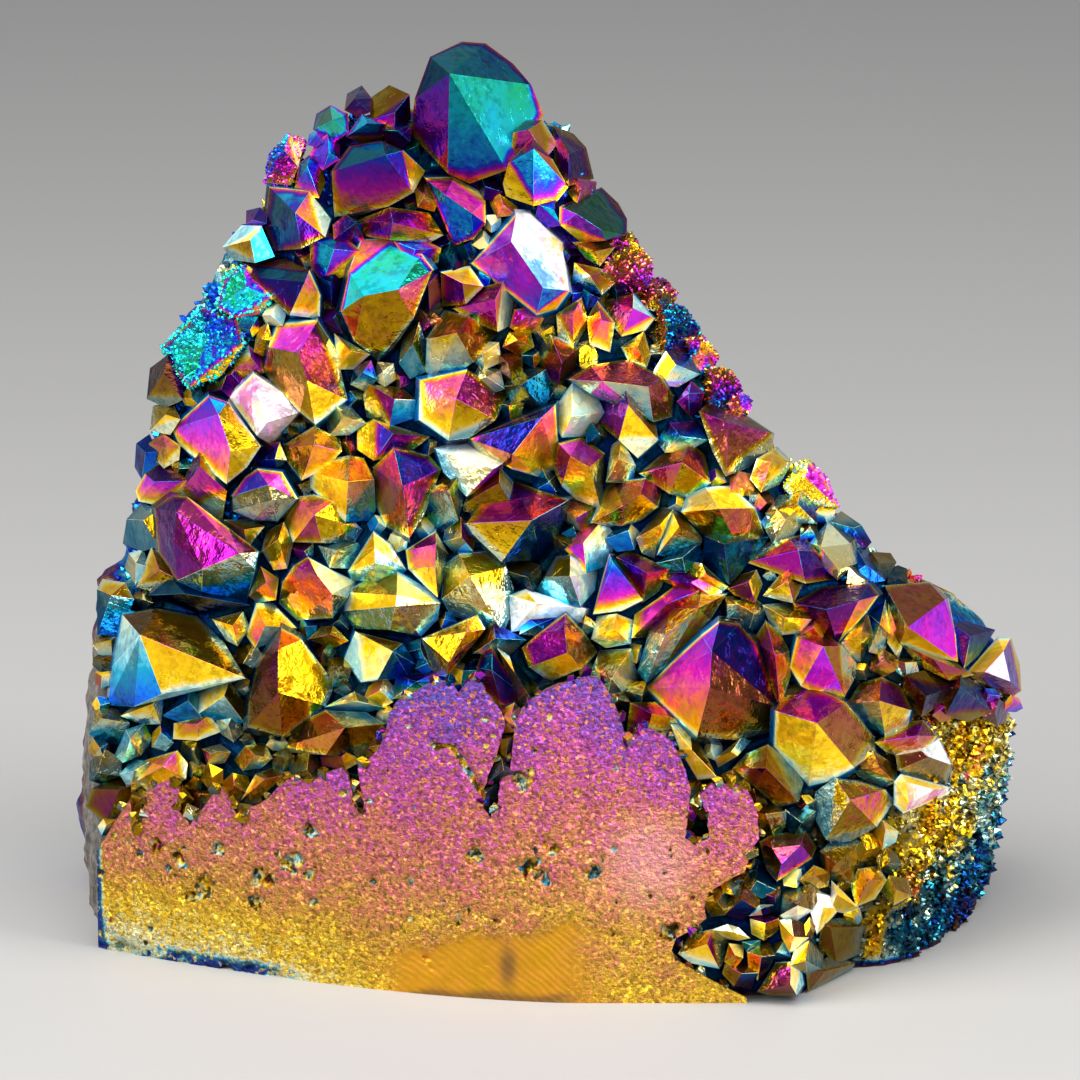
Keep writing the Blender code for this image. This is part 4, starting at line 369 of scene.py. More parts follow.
gggy 1.4 | 32.6 9.4 | 31.8 9.8, 32.5 10.8, 33.3 9.6, 32.8 8, 32 8.4
gggg 2.2 | 39.9 15.4 | 37.6 14.5, 38.5 16.8, 41 17.2, 42.2 15.4, 40.7 13, 38.3 12
gygy 2 | 43.3 14.2 | 41.4 14, 42.4 16, 44.8 15.6, 45.2 13.4, 43 12.2
0gg6 2mm5 5gy8 2.6 | 19.7 7.4 | 16 6.2, 17.4 8.6, 20.4 9.3, 22.6 7.6, 22.2 5.6, 21.2 4.3, 19.2 4.8, 17.6 5
0ww8 3yy9 1.4 | 22.9 8.9 | 20.2 9.2, 22.2 9.9, 23.6 9.5, 25.1 8.1, 23.6 7.8, 22.2 8
0yy8 2rg5 1.8 | 23.2 6 | 22.4 7.5, 24.3 7.3, 24.2 5.6, 23 4.1, 21.8 5.2
0rg5 2gk4 4rg4 2 | 24 3.7 | 21.9 4.9, 24.2 5.2, 26.2 3.8, 25.2 1.7, 23 2.1, 21.5 3.7
tbts 1 | 25.2 7.3 | 24 7.7, 26.4 7.9, 26.2 6.8, 24.6 6.4
0gy6 2gk4 4my6 2.2 | 26.5 5.8 | 24.7 6.4, 27.4 7.8, 28.2 6, 27.3 3.8, 26 2.8, 24.8 4.4
0gg8 1yw9 4rr4 6mr5 3 | 30.1 2.3 | 28.2 5.1, 30.2 5.2, 31.5 4.2, 31.8 2.4, 30.9 1, 27.6 0.9, 26 1.5,
27.4 3.3
0mv5 2gg4 4wg7 2 | 27 10 | 25 10.6, 27.4 11.2, 28.7 10.6, 28.6 9, 26.8 7.8, 25.2 8.6
0wb8 2bt4 4yw8 1.4 | 26.4 11.8 | 24.9 10.9, 26.2 12.3, 28 12.3, 28.4 11.3, 26.6 11
0gg5 2rg4 4gk3 2 | 24 13 | 21.8 11, 22.6 13.6, 24.4 15, 26.4 13.6, 26.2 11.6, 24 10.4
0ry8 2my9 4yy9 2.6 | -48.4 29.6 | -51.6 27.8, -50.6 30.4, -46.5 31.6, -45.2 30, -45.4 28, -49.8 26
tsty 1.8 | -52 29 | -53.8 28.6, -52 30.6, -50 30.2, -50.2 27.6, -52.4 26.4
yyyy 1.6 | -45.8 26.2 | -46.8 25.6, -45.9 27.4, -44.4 25.4, -45.4 24.4
gggg 2 | -39.4 27.2 | -41 27.6, -39.6 28.8, -37.6 28.4, -37.4 26, -39 25, -40.8 25.6
mmww 1.8 | -42.4 31.2 | -43.4 31.8, -41.2 32.4, -39.8 31.4, -40.6 30, -42.8 29.8
gggt 2.4 | -36.8 31 | -39.4 30.4, -38 32.2, -35.6 32.6, -34.6 30.6, -36 29.4, -38.4 29
gyyg 1.8 | -42.2 28.2 | -43.8 28.2, -42.6 30, -40.8 29.2, -40.8 27.6, -42.6 26.8
gggg 2.2 | -35.6 28 | -38.6 25.4, -36.8 28.6, -34.2 29.6, -33 28.6, -35.4 26.4, -37.4 24.6
tstg 2.2 | -52.4 33 | -54.4 31, -53 34.2, -50.6 35, -49.6 33, -51 31, -53.4 30
"""


def pairs(text):
    return [tuple(float(number) for number in pair.split()) for pair in text.split(",")]


def smooth(value, low, high):
    share = min(max((value - low) / (high - low), 0.0), 1.0)
    return share * share * (3 - 2 * share)


def smoothAll(values, low, high):
    share = np.clip((values - low) / (high - low), 0.0, 1.0)
    return share * share * (3 - 2 * share)


def edgeAt(edge, height):
    return float(np.interp(height, *zip(*edge)))


def fromView(u, v, y):
    midU, midV = viewpoint["middle"]
    far = viewpoint["distance"]
    rise = v - midV
    z = (midV + rise * (1 + y * cosTilt / far) - y * sinTilt) / (cosTilt + rise * sinTilt / far)
    away = 1 + (y * cosTilt - z * sinTilt) / far
    return Vector((midU + (u - midU) * away, y, z))


def toView(x, y, z):
    midU, midV = viewpoint["middle"]
    away = 1 + (y * cosTilt - z * sinTilt) / viewpoint["distance"]
    return midU + (x - midU) / away, midV + (z * cosTilt + y * sinTilt - midV) / away


def toRow(point):
    return (Vector(point) - Vector(viewpoint["origin"])) * mm


def faceDepth(x):
    flatStart, flatEnd = body["faceFlat"]
    if x < flatStart:
        return body["faceSetback"] * ((flatStart - x) / (flatStart - body["faceLeft"])) ** body["faceCurve"]
    if x > flatEnd:
        return body["rightSetback"] * ((x - flatEnd) / body["rightReach"]) ** body["rightCurve"]
    return 0.0


def sideways(u, v):
    left, right = edgeAt(seenLeft, v), edgeAt(seenRight, v)
    return min(abs(2 * u - left - right) / (right - left), 1.0)


def layerDepth(u, v):
    low, high = body["slope"]
    slope = min(max((v - low) / (high - low), 0.0), 1.0)
    shoulder = smooth(v, *body["shoulder"])
    if u > body["faceFlat"][1]:
        front = faceDepth(u) * (1 - 0.6 * shoulder)
        bare = smooth(u, *body["bareSide"]) * (1 - shoulder)
    else:
        front = faceDepth(max(u, body["faceLeft"])) * (1 - 0.5 * slope)
        bare = 0.0
    rounding = body["edgeRounding"] * sideways(u, v) ** body["roundingPower"]
    rounding *= smooth(v, *body["roundingFrom"])
    left, right, top, most = body["pocket"]
    shallow = 1 - most * smooth(u, *left) * (1 - smooth(u, *right)) * (1 - smooth(v, *top))
    layer = body["layerDepth"] * (1 - bare) * shallow
    return front + layer + body["slopeDepth"] * slope ** body["slopeCurve"] + rounding


def creviceDepth(x, z):
    depth = layerDepth(x, z)
    for _ in range(3):
        depth = layerDepth(x, z * cosTilt + depth * sinTilt)
    bare = smooth(x, *body["bareSide"]) * (1 - smooth(z, *body["bareTop"]))
    return depth + body["creviceDepth"] * (1 - bare) + body["bareDepth"] * bare


def newPiece(name, mesh, material=None):
    data = bpy.data.meshes.new(name)
    mesh.to_mesh(data)
    mesh.free()
    piece = bpy.data.objects.new(name, data)
    bpy.context.scene.collection.objects.link(piece)
    if material:
        data.materials.append(material)
    return piece


def finished(piece):
    # The piece with its modifiers applied, as a plain mesh.
    graph = bpy.context.evaluated_depsgraph_get()
    data = bpy.data.meshes.new_from_object(piece.evaluated_get(graph))
    piece.modifiers.clear()
    old = piece.data
    piece.data = data
    bpy.data.meshes.remove(old)
    data.name = piece.name
    return piece


def addBoolean(piece, operation, other):
    modifier = piece.modifiers.new(operation.lower(), "BOOLEAN")
    modifier.operation = operation
    modifier.solver = "EXACT"
    modifier.object = other


def writeValues(data, name, domain, values):
    attribute = data.attributes.get(name) or data.attributes.new(name, "FLOAT", domain)
    attribute.data.foreach_set("value", np.asarray(values, np.float32))


def valuesOf(items, name, kind=np.float32):
    values = np.empty(len(items), kind)
    items.foreach_get(name, values)
    return values


def rowsIn(items, name):
    rows = np.empty(len(items) * 3, np.float32)
    items.foreach_get(name, rows)
    return rows.reshape(-1, 3)


def placesOf(items, name="co"):
    # Places in the millimetres used above.
    return rowsIn(items, name) / mm + np.array(viewpoint["origin"])


def fromLowest(corners):
    # The same loop of corners, begun at its lowest number.
    start = corners.index(min(corners))
    return corners[start:] + corners[:start]


def noiseAll(places, scale, offset=0.0):
    return np.array([noise.noise(Vector(place) / scale + Vector((offset, -offset, offset)))
                     for place in places])


# Shader graphs

class Wire:
    # A socket that takes + - *, so that shader maths reads as plain expressions.
    def __init__(self, graph, socket):
        self.graph = graph
        self.socket = socket

    def do(self, operation, one, two):
        return self.graph.node("ShaderNodeMath", {"operation": operation}, {0: one, 1: two})

    def __add__(self, other):
        return self.do("ADD", self, other)

    def __radd__(self, other):
        return self.do("ADD", other, self)

    def __sub__(self, other):
        return self.do("SUBTRACT", self, other)

    def __rsub__(self, other):
        return self.do("SUBTRACT", other, self)

    def __mul__(self, other):
        return self.do("MULTIPLY", self, other)


class Graph:
    def __init__(self, name):
        self.material = bpy.data.materials.new(name)
        self.material.use_nodes = True
        self.tree = self.material.node_tree
        self.shader = self.tree.nodes["Principled BSDF"]

    def socketOf(self, sockets, key):
        if isinstance(key, int):
            return sockets[key]
        for socket in sockets:
            if socket.identifier == key:
                return socket
        return sockets[key]

    def plug(self, target, value):
        if isinstance(value, Wire):
            self.tree.links.new(value.socket, target)
        else:
            target.default_value = value

    def node(self, kind, settings=None, inputs=None, output=0):
        made = self.tree.nodes.new(kind)
        for key, value in (settings or {}).items():
            if key == "stops":
                while len(made.color_ramp.elements) > 1:
                    made.color_ramp.elements.remove(made.color_ramp.elements[-1])
                for number, (position, color) in enumerate(value):
                    if number:
                        made.color_ramp.elements.new(position)
                    made.color_ramp.elements[number].position = position
                    made.color_ramp.elements[number].color = color
            else:
                setattr(made, key, value)
        for key, value in (inputs or {}).items():
            self.plug(self.socketOf(made.inputs, key), value)
        return Wire(self, self.socketOf(made.outputs, output))

    def attribute(self, name):
        return self.node("ShaderNodeAttribute", {"attribute_name": name}, output="Fac")

    def noise(self, scale, detail=3.0, roughness=0.55, output="Fac"):
        where = self.node("ShaderNodeTexCoord", output="Object")
        return self.node("ShaderNodeTexNoise", None, {"Vector": where, "Scale": scale, "Detail": detail,
                                                      "Roughness": roughness}, output)

    def cells(self, scale, output="Distance"):
        where = self.node("ShaderNodeTexCoord", output="Object")
        return self.node("ShaderNodeTexVoronoi", None, {"Vector": where, "Scale": scale}, output)

    def ease(self, value, low, high, start=0.0, end=1.0):
        return self.node("ShaderNodeMapRange", {"interpolation_type": "SMOOTHSTEP"},
                         {"Value": value, "From Min": low, "From Max": high, "To Min": start, "To Max": end})

    def mix(self, share, one, two, blend="MIX"):
        return self.node("ShaderNodeMix", {"data_type": "RGBA", "blend_type": blend},
                         {"Factor_Float": share, "A_Color": one, "B_Color": two}, "Result_Color")

    def shaded(self, colour, share):
        inputs = dict.fromkeys(("Red", "Green", "Blue"), share)
        grey = self.node("ShaderNodeCombineColor", None, inputs, "Color")
        return self.mix(1.0, colour, grey, "MULTIPLY")

    def bump(self, height, strength, distance):
        inputs = {"Height": height, "Strength": strength, "Distance": distance}
        return self.node("ShaderNodeBump", None, inputs, "Normal")

    def set(self, **values):
        for name, value in values.items():
            self.plug(self.shader.inputs[name.replace("_", " ")], value)


def linear(rgb):
    return tuple((c / 12.92 if c <= 0.04045 else ((c + 0.055) / 1.055) ** 2.4)
                 for c in (value / 255 for value in rgb)) + (1.0,)


filmStops = [(position, linear(rgb)) for position, rgb in film.values()]


def filmColour(graph, thickness):
    return graph.node("ShaderNodeValToRGB", {"stops": filmStops}, {"Fac": thickness}, "Color")


crystalLook = {
    "patchiness": 0.06,
    "fineness": 0.04,
    "creviceTone": 0.33,
    "creviceStart": 1.05,
    "creviceEnd": -1.1,
    "paleness": 0.66,
    "paleDullness": 0.12,
    "brightDullness": 0.42,
    "mottling": 0.35,
    "lineWidth": 0.012,
    "lineDepth": 0.22,
    "flecks": 0.32,
    "roughness": (0.10, 0.24),
    "bump": 0.35,
    "bumpDepth": 0.0011,
    "patchScale": 170.0,
    "speckScale": 1300.0,
    "mottleScale": 900.0,
    "roughScale": 420.0,
    "waveScale": 300.0,
    "fleckScale": 120.0,
    "paleColour": (1.0, 0.95, 0.97, 1.0),
    "reflection": 0.1,
}


def crystalMaterial():
    look = crystalLook
    graph = Graph("auraCrystal")
    patches = graph.noise(look["patchScale"], 2.0) - 0.5
    specks = graph.noise(look["speckScale"], 2.0) - 0.5
    coarse = graph.attribute("coarse")
    mottled = graph.noise(look["mottleScale"], 4.0, 0.65)
    tone = graph.attribute("film") + patches * look["patchiness"] * 2 + specks * look["fineness"] * 2
    tone = tone + (mottled - 0.5) * coarse * look["mottling"]
    depth = graph.ease(graph.attribute("height") + patches * 0.8, look["creviceEnd"], look["creviceStart"])
    tone = tone * depth + (1 - depth) * look["creviceTone"]
    # Painted highlight: facets marked pale are mixed towards near-white, in clouds.
    cloudy = graph.ease(patches + specks * 0.5, -0.12, 0.02, 0.25, 1.0)
    whitened = graph.attribute("pale") * look["paleness"] * cloudy
    colour = graph.mix(whitened, filmColour(graph, tone), look["paleColour"])
    rough = graph.noise(look["roughScale"], 3.0)
    waves = graph.noise(look["waveScale"], 4.0, 0.55)
    # Growth lines: thin dark contours here and there on the facets.
    contour = graph.node("ShaderNodeMath", {"operation": "ABSOLUTE"}, {0: waves - 0.52})
    etched = graph.ease(contour, 0.0, look["lineWidth"], 1.0, 0.0) * graph.ease(rough, 0.48, 0.56)
    height = waves - etched * 0.12 + mottled * coarse * 1.6
    colour = graph.shaded(colour, 1 - etched * look["lineDepth"])
    # Dark flecks gather on some facets.
    fleckField = graph.ease(graph.noise(look["fleckScale"], 2.0), 0.42, 0.56)
    flecked = fleckField * graph.ease(mottled, 0.4, 0.54, 1.0, 0.0)
    # Painted light and shade: each facet's given brightness, darker still down in the crevices, and the dark
    # flecks.
    shade = graph.ease(graph.attribute("height"), -1.5, -0.2, 0.5, 1.0) * graph.attribute("shade")
    shade = shade * (1 - flecked * look["flecks"])
    colour = graph.shaded(colour, shade)
    glow = graph.ease(graph.attribute("shade"), 0.75, 1.15) * look["brightDullness"]
    metal = 0.95 - glow - graph.attribute("pale") * look["paleDullness"]
    graph.set(Base_Color=colour, Metallic=metal, Roughness=graph.ease(rough, 0.35, 0.7, *look["roughness"]),
              Normal=graph.bump(height, look["bump"], look["bumpDepth"]),
              Specular_IOR_Level=look["reflection"])
    return graph.material


matrixLook = {
    "roughness": (0.63, 0.85),
    "coatedRoughness": -0.35,  # how much smoother the coating is than the stone
    "bump": 0.9,
    "bumpDepth": 0.0008,
    "patchiness": 0.1,
    "patchScale": 260.0,
    "speckScale": 1500.0,
    "stoneScale": 700.0,
    "grainScale": 900.0,
    "cellScale": 650.0,
    "darkStone": (86, 80, 74),
    "paleStone": (150, 143, 134),
    "metal": 0.9,
}


def matrixMaterial():
    look = matrixLook
    graph = Graph("auraMatrix")
    patches = graph.noise(look["patchScale"], 3.0) - 0.5
    specks = graph.noise(look["speckScale"], 3.0) - 0.5
    thickness = graph.attribute("film")
    coated = graph.ease(thickness, 0.02, 0.06)
    tone = thickness + (patches + specks) * look["patchiness"] * coated
    cloudy = graph.ease(graph.noise(look["stoneScale"], 5.0, 0.7), 0.35, 0.65)
    stone = graph.mix(cloudy, linear(look["darkStone"]), linear(look["paleStone"]))
    colour = graph.mix(coated, stone, filmColour(graph, tone))
    # The shade attribute darkens the colour: painted shade in the front crevices, and the broken side's given
    # brightness.
    colour = graph.shaded(colour, graph.attribute("shade"))
    grain = graph.noise(look["grainScale"], 5.0, 0.65) + graph.cells(look["cellScale"]) * 0.6
    dull = graph.ease(patches, -0.2, 0.2, *look["roughness"])
    graph.set(Base_Color=colour, Metallic=coated * look["metal"],
              Roughness=coated * look["coatedRoughness"] + dull,
              Normal=graph.bump(grain, look["bump"], look["bumpDepth"]))
    return graph.material


faceLook = {
    "speckle": 0.1,
    "grainScale": 2600.0,  # grains a metre
    "flakes": 0.7,
    "flakeTone": 0.6,
    "roughness": (0.55, 0.34),
    "bump": 0.9,
    "brightness": 0.7,
    "darkest": 0.42,
    "sparkle": 1.1,
    "greyness": (0.04, 0.2),
    "cloudScale": 130.0,
    "speckleScale": 1900.0,
    "bumpDepth": 0.0005,
    "pitTone": 0.53,
    "pitScale": 600.0,
    "patchShare": 0.35,
    "stainShare": 0.75,
    "polishedTone": 0.628,
    "metal": 0.85,
    "greyColour": (208, 170, 160),
    "patchColour": (240, 176, 176),
    "stainColour": (104, 78, 52),
    "sawMarks": 620.0,
}


def faceMaterial():
    look = faceLook
    graph = Graph("auraSawnFace")
    thickness = graph.attribute("film")
    clouds = graph.noise(look["cloudScale"], 4.0) - 0.5
    grain = graph.noise(look["speckleScale"], 3.0, 0.7)
    specks = graph.cells(look["grainScale"], "Color")
    single = graph.node("ShaderNodeSeparateColor", None, {"Color": specks}, "Red")
    other = graph.node("ShaderNodeSeparateColor", None, {"Color": specks}, "Green")
    even = graph.ease(thickness, 0.47, 0.6, 0.3, 1.0)
    tone = thickness + (clouds * 0.05 + (grain - 0.5) * look["speckle"] + (single - 0.5) * 0.07) * even
    flakes = graph.ease(single, 0.8, 0.9) * look["flakes"]
    tone = tone * (1 - flakes) + flakes * look["flakeTone"]
    greyed = graph.ease(thickness, 0.57, 0.68, *look["greyness"])
    colour = graph.mix(greyed, filmColour(graph, tone), linear(look["greyColour"]))
    colour = graph.shaded(colour, graph.ease(thickness, 0.34, 0.46, 0.5, 1.0))
    # Painted glints: single sawn grains are brightened one by one.
    spark = graph.ease(other, 0.8, 0.95, 0.0, look["sparkle"]) * graph.ease(grain, 0.42, 0.58) * even
    dark = graph.ease(grain + (other - 0.5) * 0.16, 0.32, 0.54, look["darkest"], 1.0)
    colour = graph.shaded(colour, dark * look["brightness"] * (1 + spark))
    colour = graph.mix(graph.attribute("pale") * look["patchShare"], colour, linear(look["patchColour"]))
    # Pits hold small gold and teal crystals, with painted light and shade on them at random.
    pit = graph.attribute("pit")
    pitTone = look["pitTone"] + (graph.noise(look["pitScale"], 2.0) - 0.5) * 0.8
    lit = graph.ease(graph.noise(1100.0, 2.0), 0.4, 0.62, 0.06, 0.85)
    colour = graph.mix(graph.ease(pit, 0.1, 0.5), colour, graph.shaded(filmColour(graph, pitTone), lit))
    # Saw marks run slantwise over the polished patch.
    polished = graph.attribute("polished")
    where = graph.node("ShaderNodeTexCoord", output="Object")
    marks = graph.node("ShaderNodeTexWave", {"bands_direction": "DIAGONAL"},
                       {"Vector": where, "Scale": look["sawMarks"], "Distortion": 4.0, "Detail": 3.0,
                        "Detail Scale": 0.6}, "Fac")
    worn = graph.noise(500.0, 5.0, 0.7) - 0.5
    goldTone = look["polishedTone"] + (marks - 0.5) * 0.01 + clouds * 0.03 + worn * 0.03
    gold = graph.shaded(filmColour(graph, goldTone), 0.86 + marks * 0.06 + worn * 0.5)
    stain = graph.attribute("stain")
    gold = graph.mix(stain * look["stainShare"], gold, linear(look["stainColour"]))
    colour = graph.mix(polished, colour, gold)
    height = (grain + graph.noise(700.0, 3.0) * 0.8) * (1 - polished * 0.85) + marks * polished * 0.12
    coated = graph.ease(thickness, 0.02, 0.06)
    graph.set(Base_Color=colour, Metallic=coated * look["metal"],
              Roughness=graph.ease(grain, 0.3, 0.7, *look["roughness"]),
              Normal=graph.bump(height, look["bump"], look["bumpDepth"]))
    return graph.material


# Matrix: a loft of level outlines, roughened

def ringOutline(z):
    left, right = edgeAt(leftEdge, z), edgeAt(rightEdge, z)
    corner = left + body["leftBulge"]
    back = body["backDepth"] - body["backLean"] * (z / body["top"]) ** 2
    front = []
    countFront, countRear, countSide = body["outlinePoints"]
    for t in np.linspace(0, 1, countFront):
        x = corner + (right - corner) * t
        front.append((x, min(creviceDepth(x, z), back - 6)))
    frontRight = front[-1][1]
    left, right = edgeAt(leftBack, z), edgeAt(rightBack, z)
    middle, half = (left + right) / 2, (right - left) / 2
    rear = [(middle + half * t, back - 5 * abs(t) ** 5 * (1 - frontRight / 90))
            for t in np.linspace(0.97, -0.97, countRear)]
    start, end = rear[-1], front[0]
    side = []
    for t in np.linspace(0.06, 0.94, countSide):
        bulge = body["leftBulge"] * math.sin(math.pi * t)
        side.append((start[0] + (end[0] - start[0]) * t - bulge, start[1] + (end[1] - start[1]) * t))
    return front + rear + side


def evenRing(outline):
    closed = np.array(outline + outline[:1])
    steps = np.hypot(*np.diff(closed, axis=0).T)
    along = np.concatenate([[0], np.cumsum(steps)])
    wanted = np.linspace(0, along[-1], body["ringPoints"], endpoint=False)
    return np.column_stack([np.interp(wanted, along, closed[:, i]) for i in (0, 1)])


rock = {
    "lumpSizes": (14.0, 5.5),
    "fineSizes": (2.4, 1.1),
    "ridgeSize": 6.0,
    "lumps": (0.5, 2.4),  # everywhere, and more at the back
    "fine": (0.35, 0.5),
    "ridges": 1.6,        # on the broken right side
    "behind": (40, 58),
    "right": (36, 44),
    "rightTop": (34, 44),
}


def bodyRoughness(x, y, z):
    where = Vector((x, y, z))
    coarse, middling = rock["lumpSizes"]
    lumps = noise.noise(where / coarse) + 0.55 * noise.noise(where / middling + Vector((7, 3, 1)))
    small, tiny = rock["fineSizes"]
    fine = noise.noise(where / small) + 0.6 * noise.noise(where / tiny)
    behind = smooth(y, *rock["behind"])
    right = smooth(x, *rock["right"]) * (1 - smooth(z, *rock["rightTop"]))
    ridges = 0.5 - abs(noise.noise(where / rock["ridgeSize"] + Vector((2, 9, 4))))
    least, more = rock["lumps"]
    out = lumps * (least + more * max(behind, right * 0.2))
    least, more = rock["fine"]
    return out + fine * (least + more * max(behind, right)) + rock["ridges"] * ridges * right


def makeMatrix():
    heights = list(np.linspace(0, body["top"], body["levels"]))
    mesh = bmesh.new()
    rings = []
    outline = None
    caps = [(body["top"] + rise, scale) for scale, rise in body["caps"]]
    for z, shrink in [(z, 1.0) for z in heights] + caps:
        if shrink == 1.0:
            outline = evenRing(ringOutline(z))
        centre = outline.mean(axis=0)
        ring = centre + (outline - centre) * shrink
        ahead = np.roll(ring, -1, axis=0) - np.roll(ring, 1, axis=0)
        outward = np.column_stack([ahead[:, 1], -ahead[:, 0]]) / np.hypot(*ahead.T)[:, None]
        verts = []
        for (x, y), (nx, ny) in zip(ring, outward):
            out = bodyRoughness(x, y, z)
            verts.append(mesh.verts.new(toRow((x + nx * out * shrink, y + ny * out * shrink, z))))
        rings.append(verts)
    count = body["ringPoints"]
    for lower, upper in zip(rings, rings[1:]):
        for i in range(count):
            j = (i + 1) % count
            mesh.faces.new((lower[i], lower[j], upper[j], upper[i]))
    mesh.faces.new(reversed(rings[0]))
    mesh.faces.new(rings[-1])
    for face in mesh.faces:
        face.smooth = True
    return newPiece("druzy_matrix", mesh, matrixMaterial())


matrixTones = {
    "crevice": 0.34,
    "upper": 0.5,      # added high up
    "lowLeft": 0.36,
    "sides": 0.66,
    "back": 0.24,      # at the edges of the back
    "backMost": 0.32,
    "creviceShade": 0.58,
    "brokenShade": 0.4,
}


def matrixFilm(piece):
    tones = matrixTones
    data = piece.data
    places = placesOf(data.vertices)
    x, y, z = places.T
    u, v = toView(x, y, z)
    wide = noiseAll(places, 7.0, 3.1)
    fine = noiseAll(places, 2.2, 8.7)
    blend = wide * 0.6 + fine * 0.4
    upper = smoothAll(v, 78, 100)
    tone = tones["crevice"] + tones["upper"] * upper * (blend > -0.1) + blend * 0.16
    lowLeft = (1 - smoothAll(v, 30, 50)) * (1 - smoothAll(u, -20, 5))
    tone = tone * (1 - lowLeft) + (tones["lowLeft"] + blend * 0.1) * lowLeft
    facing = smoothAll(-rowsIn(data.vertices, "normal")[:, 1], 0.0, 0.4)
    right = smoothAll(u, 31, 34) * (1 - smoothAll(v, 36, 42))
    patches = np.array(pairs(brokenSide))
    other = noiseAll(places, 3.2, 12.4)
    across, up = u + wide * 4 + other * 3, v + fine * 5 + other * 2
    away = [np.hypot(across - row[0], up - row[1]) / row[2] for row in patches]
    nearest = patches[np.argmin(away, axis=0)]
    tone = tone * (1 - right) + (nearest[:, 3] + blend * 0.1 + other * 0.09) * right
    # Painted shade: the front crevices are darkened.
    shade = 1 - tones["creviceShade"] * facing * (1 - smoothAll(y, 44, 52))
    flaky = np.clip(0.9 + 1.5 * fine, 0.3, 1.6)
    shade = shade * (1 - right) + nearest[:, 4] * tones["brokenShade"] * flaky * right
    sides = (1 - facing) * (1 - smoothAll(y, 42, 52)) * smoothAll(z, 38, 46)
    tone = tone * (1 - sides) + (tones["sides"] + blend * 0.4) * sides
    shade = shade * (1 - 0.5 * sides)
    # Left side: a blue edge by the sawn face, a bronze border, then bare stone.
    corner = np.interp(z, *zip(*leftEdge)) + body["leftBulge"]
    inward = y - np.array([faceDepth(c) for c in corner])
    leftSide = smoothAll(-x, 55.5, 56.5) * (z < 47)
    edgeTone = np.interp(inward + blend * 2, *zip(*leftBorder))
    tone = tone * (1 - leftSide) + edgeTone * leftSide
    # The back is bare but for its edges.
    behind = smoothAll(y, 46, 54)
    edges = [np.interp(z, *zip(*edge)) for edge in (leftBack, rightBack)]
    inside = np.minimum(np.minimum(x - edges[0], edges[1] - x), body["top"] - z)
    near = 1 - smoothAll(inside + blend * 12, 1, 15)
    backTone = np.clip(near * tones["back"] + (blend - 0.1) * 0.14, 0.0, tones["backMost"])
    tone = tone * (1 - behind) + backTone * behind
    tone[z < 0.05] = 0.0
    writeValues(data, "film", "POINT", np.clip(tone, 0, 1))
    writeValues(data, "shade", "POINT", shade)


# Crystals

def rowsOf(table):
    # A line that ends with a comma goes on in the next one.
    for line in table.strip().replace(",\n", ", ").splitlines():
        first, tips, rim = line.split("|")
        *tones, rise = first.split()
        yield tones, float(rise), pairs(tips), pairs(rim)


crystalShape = {
    "inset": 0.985,
    "stand": 0.1,
    "skirt": 1.1,       # how much the part below the rim widens towards the crevice
    "skirtDepth": 2.2,
    "rimRise": 0.45,
    "rimDrop": 1.7,
    "relaxing": 14,
    "clearance": 0.15,  # of the lowest crystals over the base
    # Painted light and shade of the facets: its scale, contrast and random spread.
    "brightness": 1.24,
    "contrast": 1.6,
    "variation": 0.5,
    "smallLift": (0.8, 1.2, 2.8),  # small crystals stay clear of the crevice colour
    "root": 0.8,
    "rootDepth": 3.5,
    "rootScale": (0.7, 0.2),     # of the rim, and more at the outline of the cluster
    "outerSide": (0.72, 0.92),   # where the outline of the cluster begins
    "outerTop": (98, 106),
    "outerSkirt": 0.99,
    "bevel": 0.13,
    "bevelAngle": 12,
    "ridgeTone": 0.09,  # the coating's tone along the edges, and how much brighter they are painted, as a painted highlight
    "ridgeShine": 0.55,
    "lean": 1.3,
    "topShare": 0.3,             # of the size, round the tip, that has the top's own tone
    "merge": 6.0,
}


def ridgeCorners(rim, tip):
    # The three rim corners that the edges between the upper facets run to.
    count = len(rim)
    if count < 4:
        return ()
    bearings = [math.atan2(v - tip[1], u - tip[0]) for u, v in rim]
    weights = []
    for i in range(count):
        before = Vector(rim[i]) - Vector(rim[i - 1])
        after = Vector(rim[(i + 1) % count]) - Vector(rim[i])
        turn = abs(before.angle_signed(after, 0.0))
        weights.append((0.35 + turn) * math.dist(rim[i], tip))
    best, chosen = 0.0, ()
    for triple in itertools.combinations(range(count), 3):
        angles = sorted(bearings[i] for i in triple)
        gaps = [angles[1] - angles[0], angles[2] - angles[1], angles[0] + math.tau - angles[2]]
        if min(gaps) < math.radians(65) or max(gaps) > math.radians(172):
            continue
        score = sum(weights[i] for i in triple)
        if score > best:
            best, chosen = score, triple
    return chosen


def facetDepths(rim, ridges, tips, tipDepths, depths, rise):
    # Moves the rim corners in depth until each facet, from ridge to ridge and its tips, is nearly flat.
    count = len(rim)
    levels, found = np.array(depths), np.array(depths)
    shallow = levels - crystalShape["rimRise"] * rise
    deep = levels + min(0.7 * rise, crystalShape["rimDrop"])
    facets = []
    for first, last in zip(ridges, ridges[1:] + ridges[:1]):
        corners = [k % count for k in range(first, last + (count if last <= first else 0) + 1)]
        ends = sorted({min(range(len(tips)), key=lambda i: math.dist(tips[i], rim[k]))
                       for k in (first, last)})
        points = [(*rim[k], 1) for k in corners] + [(*tips[i], 1) for i in ends]
        weights = np.array([1.0] * len(corners) + [4.0] * len(ends))
        facets.append((corners, ends, np.array(points), weights))
    for _ in range(crystalShape["relaxing"]):
        total, hits = np.zeros(count), np.zeros(count)
        for corners, ends, points, weights in facets:
            values = np.concatenate([found[corners], [tipDepths[i] for i in ends]])
            plane = np.linalg.lstsq(points * weights[:, None], values * weights, rcond=None)[0]
            total[corners] += (points @ plane)[:len(corners)]
            hits[corners] += 1
        found = np.clip(total / np.maximum(hits, 1), shallow, deep)
    return list(found)


